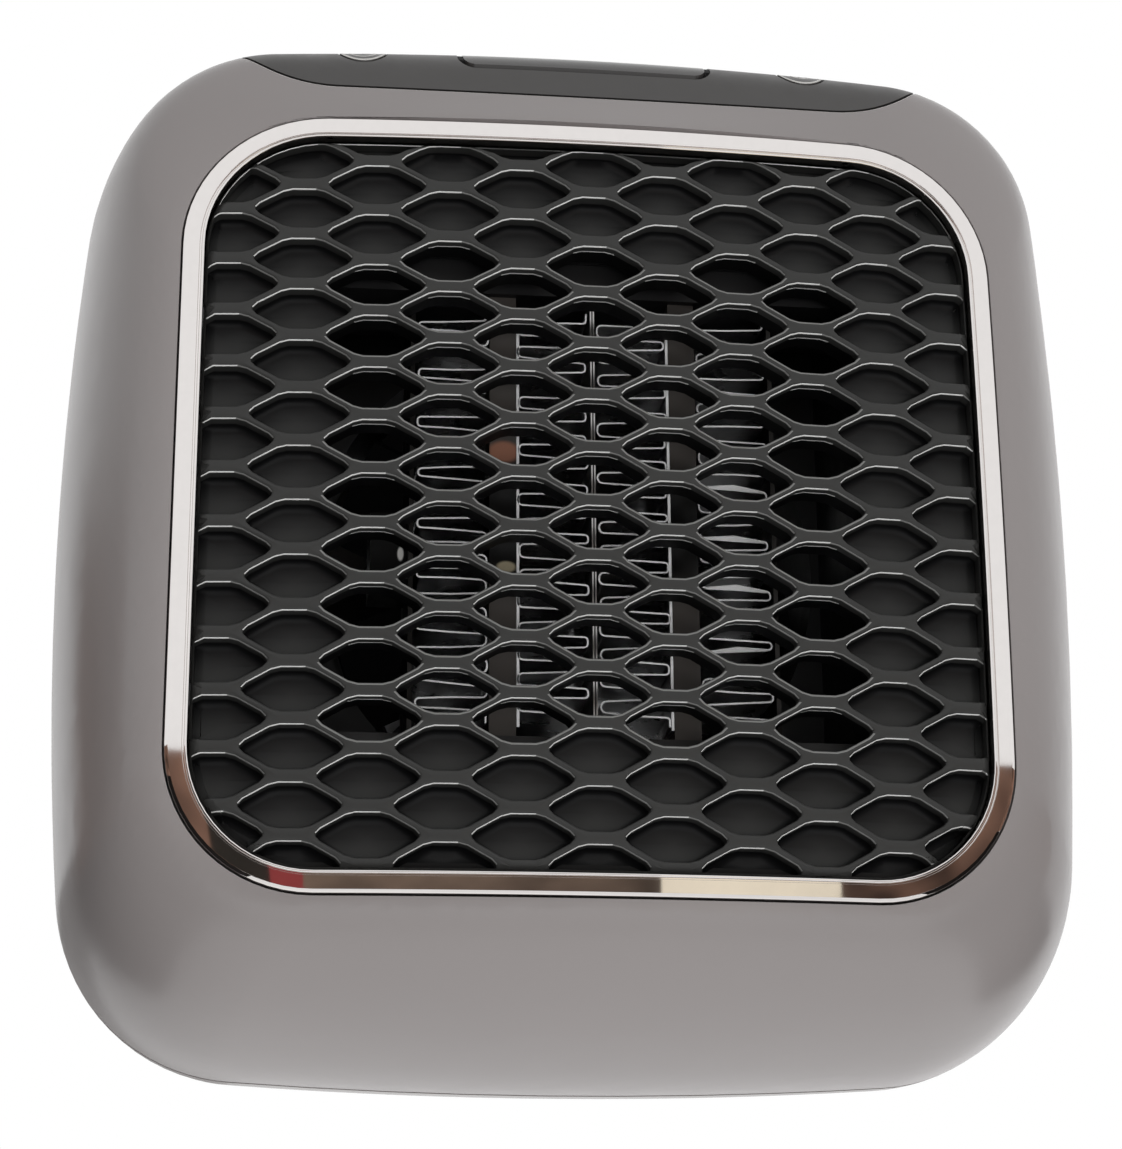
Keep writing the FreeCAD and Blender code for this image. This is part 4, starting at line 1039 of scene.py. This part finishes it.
class HEATER_OT_inside(bpy.types.Operator):
    """Duct, fan, boards and screws"""
    bl_idname = "heater.inside"
    bl_label = "Inside"

    def execute(self, context):
        wear_on(moulded("duct_plastic", colours().duct, 0.5, 1800.0, 0.2), "heater_duct", "upper_clip",
                "lower_clip", "fan_frame", "impeller", "contact_plate")
        wear_on(moulded("solder_mask", tone(22, 78, 46), 0.35, 1200.0, 0.1), "control_board", "power_board")
        wear_on(metal("zinc_steel", tone(188, 188, 190), 0.32, LENGTHWISE), "case_screws", "control_screws",
                "duct_screws", "fan_screws", "power_screws", "plug_screws", "contact_screws", "fan_motor",
                "fan_shaft")
        wear_on(moulded("relay_plastic", tone(40, 52, 84), 0.3), "power_relay")
        wear_on(moulded("sleeve_plastic", tone(34, 34, 38), 0.28), "filter_capacitor")
        wear_on(moulded("fuse_plastic", tone(84, 58, 38), 0.35), "board_fuse")
        return {"FINISHED"}


class HEATER_OT_plug(bpy.types.Operator):
    """Turning plug with its pins"""
    bl_idname = "heater.plug"
    bl_label = "Plug"

    def execute(self, context):
        body = moulded("plug_plastic", colours().plug, 0.48, 1900.0, 0.2)
        wear_on(body, "plug_turret", "plug_retainer")
        pins = metal("nickel_plate", tone(208, 205, 197), 0.2, LENGTHWISE)
        wear_on(pins, "plug_pin_left", "plug_pin_right")
        return {"FINISHED"}


# Stage, in metres, degrees and watts
WHITE = (1.0, 1.0, 1.0, 1.0)
CAMERA_PLACE = Vector((-0.03938, -0.36454, -0.09792))
CAMERA_AIM = Vector((-0.001477, -0.06, -0.001839))
CAMERA_ROLL = -0.3251
CAMERA_LENS, CAMERA_SENSOR = 86.34, 36.0
FLOOR_HALF, FLOOR_HEIGHT, FLOOR_GLOW = 4.0, -0.90, 0.45
AMBIENT = 0.42
SCREEN_AWAY, SCREEN_FOOT, LOW, TALL = 1.5, -0.30, 0.475, 0.80
# Cloths of the screens: colour, darkest and lightest share of it, and glow
CLOTHS = {
    "dark": ((0.27, 0.15, 0.105), 0.2, 2.0, 0.0),
    "grey": ((0.60, 0.585, 0.58), 0.85, 1.15, 0.0),
    "black": ((0.03, 0.025, 0.02), 0.5, 1.5, 0.0),
    "red": ((0.30, 0.05, 0.05), 0.8, 1.2, 0.2),
    "umber": ((0.17, 0.12, 0.09), 0.2, 2.0, 0.0),
    "cream": ((0.85, 0.77, 0.62), 0.95, 1.05, 0.55),
}
# Screens: where each starts, counted from the front, how far it goes round, its height and its cloth
SCREENS = (
    ("rear", -178.0, 40.0, LOW, "grey"),
    ("side", -138.0, 58.0, TALL, "dark"),
    ("left", -80.0, 66.8, LOW, "dark"),
    ("black", -13.2, 3.3, LOW, "black"),
    ("red", -9.9, 1.8, LOW, "red"),
    ("front", -8.1, 18.6, LOW, "umber"),
    ("middle", 10.5, 9.5, LOW, "cream"),
    ("right", 20.0, 75.0, LOW, "dark"),
)
# Lamps: place, aim, width and height, power
LAMPS = (
    ("key_light", (0.3, -0.8, 0.9), (0.0, -0.05, 0.0), (1.2, 1.2), 1.0),
    ("low_light", (0.2, -0.9, -0.25), (0.0, -0.05, -0.03), (1.2, 0.5), 4.6),
    ("under_light", (0.3, 0.0, -0.5), (0.15, 0.0, 0.0), (1.2, 1.2), 2.8),
    ("back_light", (0.0, 1.1, 0.2), (0.0, 0.0, 0.0), (1.4, 1.0), 5.0),
)
# Flags: x, range in y and range in z
FLAGS = (
    ("flag_left", -0.22, (-0.55, 0.15), (-0.295, -0.035)),
    ("flag_right", 0.28, (-0.45, 0.15), (-0.295, -0.08)),
)


def seen_rays(tree):
    """One for what the camera, mirrors and glass see, nothing for the light that falls on things."""
    path = tree.nodes.new("ShaderNodeLightPath")
    seen = path.outputs["Is Camera Ray"]
    for ray in ("Is Glossy Ray", "Is Transmission Ray"):
        either = tree.nodes.new("ShaderNodeMath")
        either.operation = "MAXIMUM"
        tree.links.new(seen, either.inputs[0])
        tree.links.new(path.outputs[ray], either.inputs[1])
        seen = either.outputs["Value"]
    return seen


def floor_paper(name, base, glow):
    """Pale paper that the camera and mirrors see lighter than it is lit."""
    finish = moulded(name, base, 0.8, 300.0, 0.02)
    tree = finish.node_tree
    shader = tree.nodes["Principled BSDF"]
    shader.inputs["Emission Color"].default_value = WHITE
    light = map_range(tree, seen_rays(tree), 0.0, 1.0, 0.0, glow)
    tree.links.new(light, shader.inputs["Emission Strength"])
    return finish


def screen_cloth(name, base, dark, light, glow):
    """Blotchy cloth that mirrors show as uneven patches."""
    finish, tree, shader, place = new_finish(name)
    cloth = tint(tree, spread(tree, grain(tree, place, 7.0)), base, dark, light)
    tree.links.new(cloth, shader.inputs["Base Color"])
    tree.links.new(cloth, shader.inputs["Emission Color"])
    shader.inputs["Emission Strength"].default_value = glow
    shader.inputs["Roughness"].default_value = 0.9
    return finish


def set_camera(scene):
    lens = bpy.data.cameras.new("camera")
    lens.lens = CAMERA_LENS
    lens.sensor_width = CAMERA_SENSOR
    lens.clip_start, lens.clip_end = 0.01, 50.0
    camera = add_object("camera", lens)
    level = (CAMERA_AIM - CAMERA_PLACE).to_track_quat("-Z", "Y").to_matrix().to_4x4()
    roll = Matrix.Rotation(math.radians(CAMERA_ROLL), 4, "Z")
    camera.matrix_world = Matrix.Translation(CAMERA_PLACE) @ level @ roll
    scene.camera = camera


def studio_world(scene):
    """White to the camera and to mirrors, a soft even light to everything else."""
    world = bpy.data.worlds.new("studio")
    scene.world = world
    world.use_nodes = True
    tree = world.node_tree
    tree.nodes.clear()
    out = tree.nodes.new("ShaderNodeOutputWorld")
    mix = tree.nodes.new("ShaderNodeMixShader")
    tree.links.new(seen_rays(tree), mix.inputs["Fac"])
    for socket, strength in ((1, AMBIENT), (2, 1.0)):
        light = tree.nodes.new("ShaderNodeBackground")
        light.inputs["Color"].default_value = WHITE
        light.inputs["Strength"].default_value = strength
        tree.links.new(light.outputs["Background"], mix.inputs[socket])
    tree.links.new(mix.outputs["Shader"], out.inputs["Surface"])


def lay_floor():
    bm = bmesh.new()
    add_card(bm, Matrix.Translation((0, 0, FLOOR_HEIGHT)), 2 * FLOOR_HALF, 2 * FLOOR_HALF)
    floor = new_object(bm, "floor", floor_paper("floor_paper", colours().floor, FLOOR_GLOW))


def low_screen(name, start, turn, high, finish):
    """Part of a low screen round the object, which only shiny surfaces show."""
    bm = bmesh.new()
    foot = Matrix.Rotation(math.radians(start), 3, "Z") @ Vector((0, -SCREEN_AWAY, SCREEN_FOOT))
    sweep(bm, (foot, foot + Vector((0, 0, high))), turn, max(3, int(turn / 5)))
    screen = new_object(bm, name, finish)
    screen.visible_camera = False
    screen.visible_diffuse = False
    screen.visible_shadow = False


def soft_lamp(name, place, aim, size, power):
    """Wide lamp that lights things without being seen or mirrored."""
    lamp = bpy.data.lights.new(name, "AREA")
    lamp.shape = "RECTANGLE"
    lamp.size, lamp.size_y = size
    lamp.energy = power
    holder = add_object(name, lamp)
    holder.location = place
    holder.rotation_euler = (Vector(aim) - Vector(place)).to_track_quat("-Z", "Y").to_euler()
    holder.visible_camera = False
    holder.visible_glossy = False


def shade_flag(name, x, depths, heights, finish):
    """Dark card beside the object that keeps light off its lower side."""
    bm = bmesh.new()
    middle = Matrix.Translation((x, sum(depths) / 2, sum(heights) / 2))
    upright = middle @ Matrix.Rotation(math.pi / 2, 4, "Y")
    add_card(bm, upright, heights[1] - heights[0], depths[1] - depths[0])
    card = new_object(bm, name, finish)
    card.visible_camera = False


class HEATER_OT_stage(bpy.types.Operator):
    """Camera, floor and soft studio light"""
    bl_idname = "heater.stage"
    bl_label = "Stage"

    def execute(self, context):
        scene = context.scene
        scene.view_settings.view_transform = "Standard"
        set_camera(scene)
        lay_floor()
        studio_world(scene)
        cloths = {name: screen_cloth(f"{name}_cloth", *look) for name, look in CLOTHS.items()}
        for name, start, turn, high, cloth in SCREENS:
            low_screen(f"screen_{name}", start, turn, high, cloths[cloth])
        for lamp in LAMPS:
            soft_lamp(*lamp)
        black = moulded("flag_cloth", tone(30, 27, 26), 0.9, 200.0, 0.1, 0.1)
        for flag in FLAGS:
            shade_flag(*flag, black)
        return {"FINISHED"}


class HEATER_PT_pieces(bpy.types.Panel):
    """Pieces of the heater, in the order in which they are made"""
    bl_idname = "HEATER_PT_pieces"
    bl_label = "Heater"
    bl_space_type = "VIEW_3D"
    bl_region_type = "UI"
    bl_category = "Heater"

    def draw(self, context):
        for operator in OPERATORS:
            self.layout.operator(operator.bl_idname)
        for group in (context.scene.heater_sizes, context.scene.heater_colours):
            box = self.layout.box()
            for prop in group.__annotations__:
                box.prop(group, prop)


OPERATORS = (HEATER_OT_stage, HEATER_OT_case, HEATER_OT_chrome_ring, HEATER_OT_grille, HEATER_OT_controls,
             HEATER_OT_element, HEATER_OT_inside, HEATER_OT_plug)
CLASSES = (HeaterSizes, HeaterColours, *OPERATORS, HEATER_PT_pieces)


def register():
    for cls in CLASSES:
        bpy.utils.register_class(cls)
    bpy.types.Scene.heater_sizes = PointerProperty(type=HeaterSizes)
    bpy.types.Scene.heater_colours = PointerProperty(type=HeaterColours)


def unregister():
    del bpy.types.Scene.heater_colours
    del bpy.types.Scene.heater_sizes
    for cls in reversed(CLASSES):
        bpy.utils.unregister_class(cls)


def main():
    register()
    bpy.ops.heater.stage()
    bpy.ops.heater.case()
    bpy.ops.heater.chrome_ring()
    bpy.ops.heater.grille()
    bpy.ops.heater.controls()
    bpy.ops.heater.element()
    bpy.ops.heater.inside()
    bpy.ops.heater.plug()


if __name__ == "__main__":
    main()
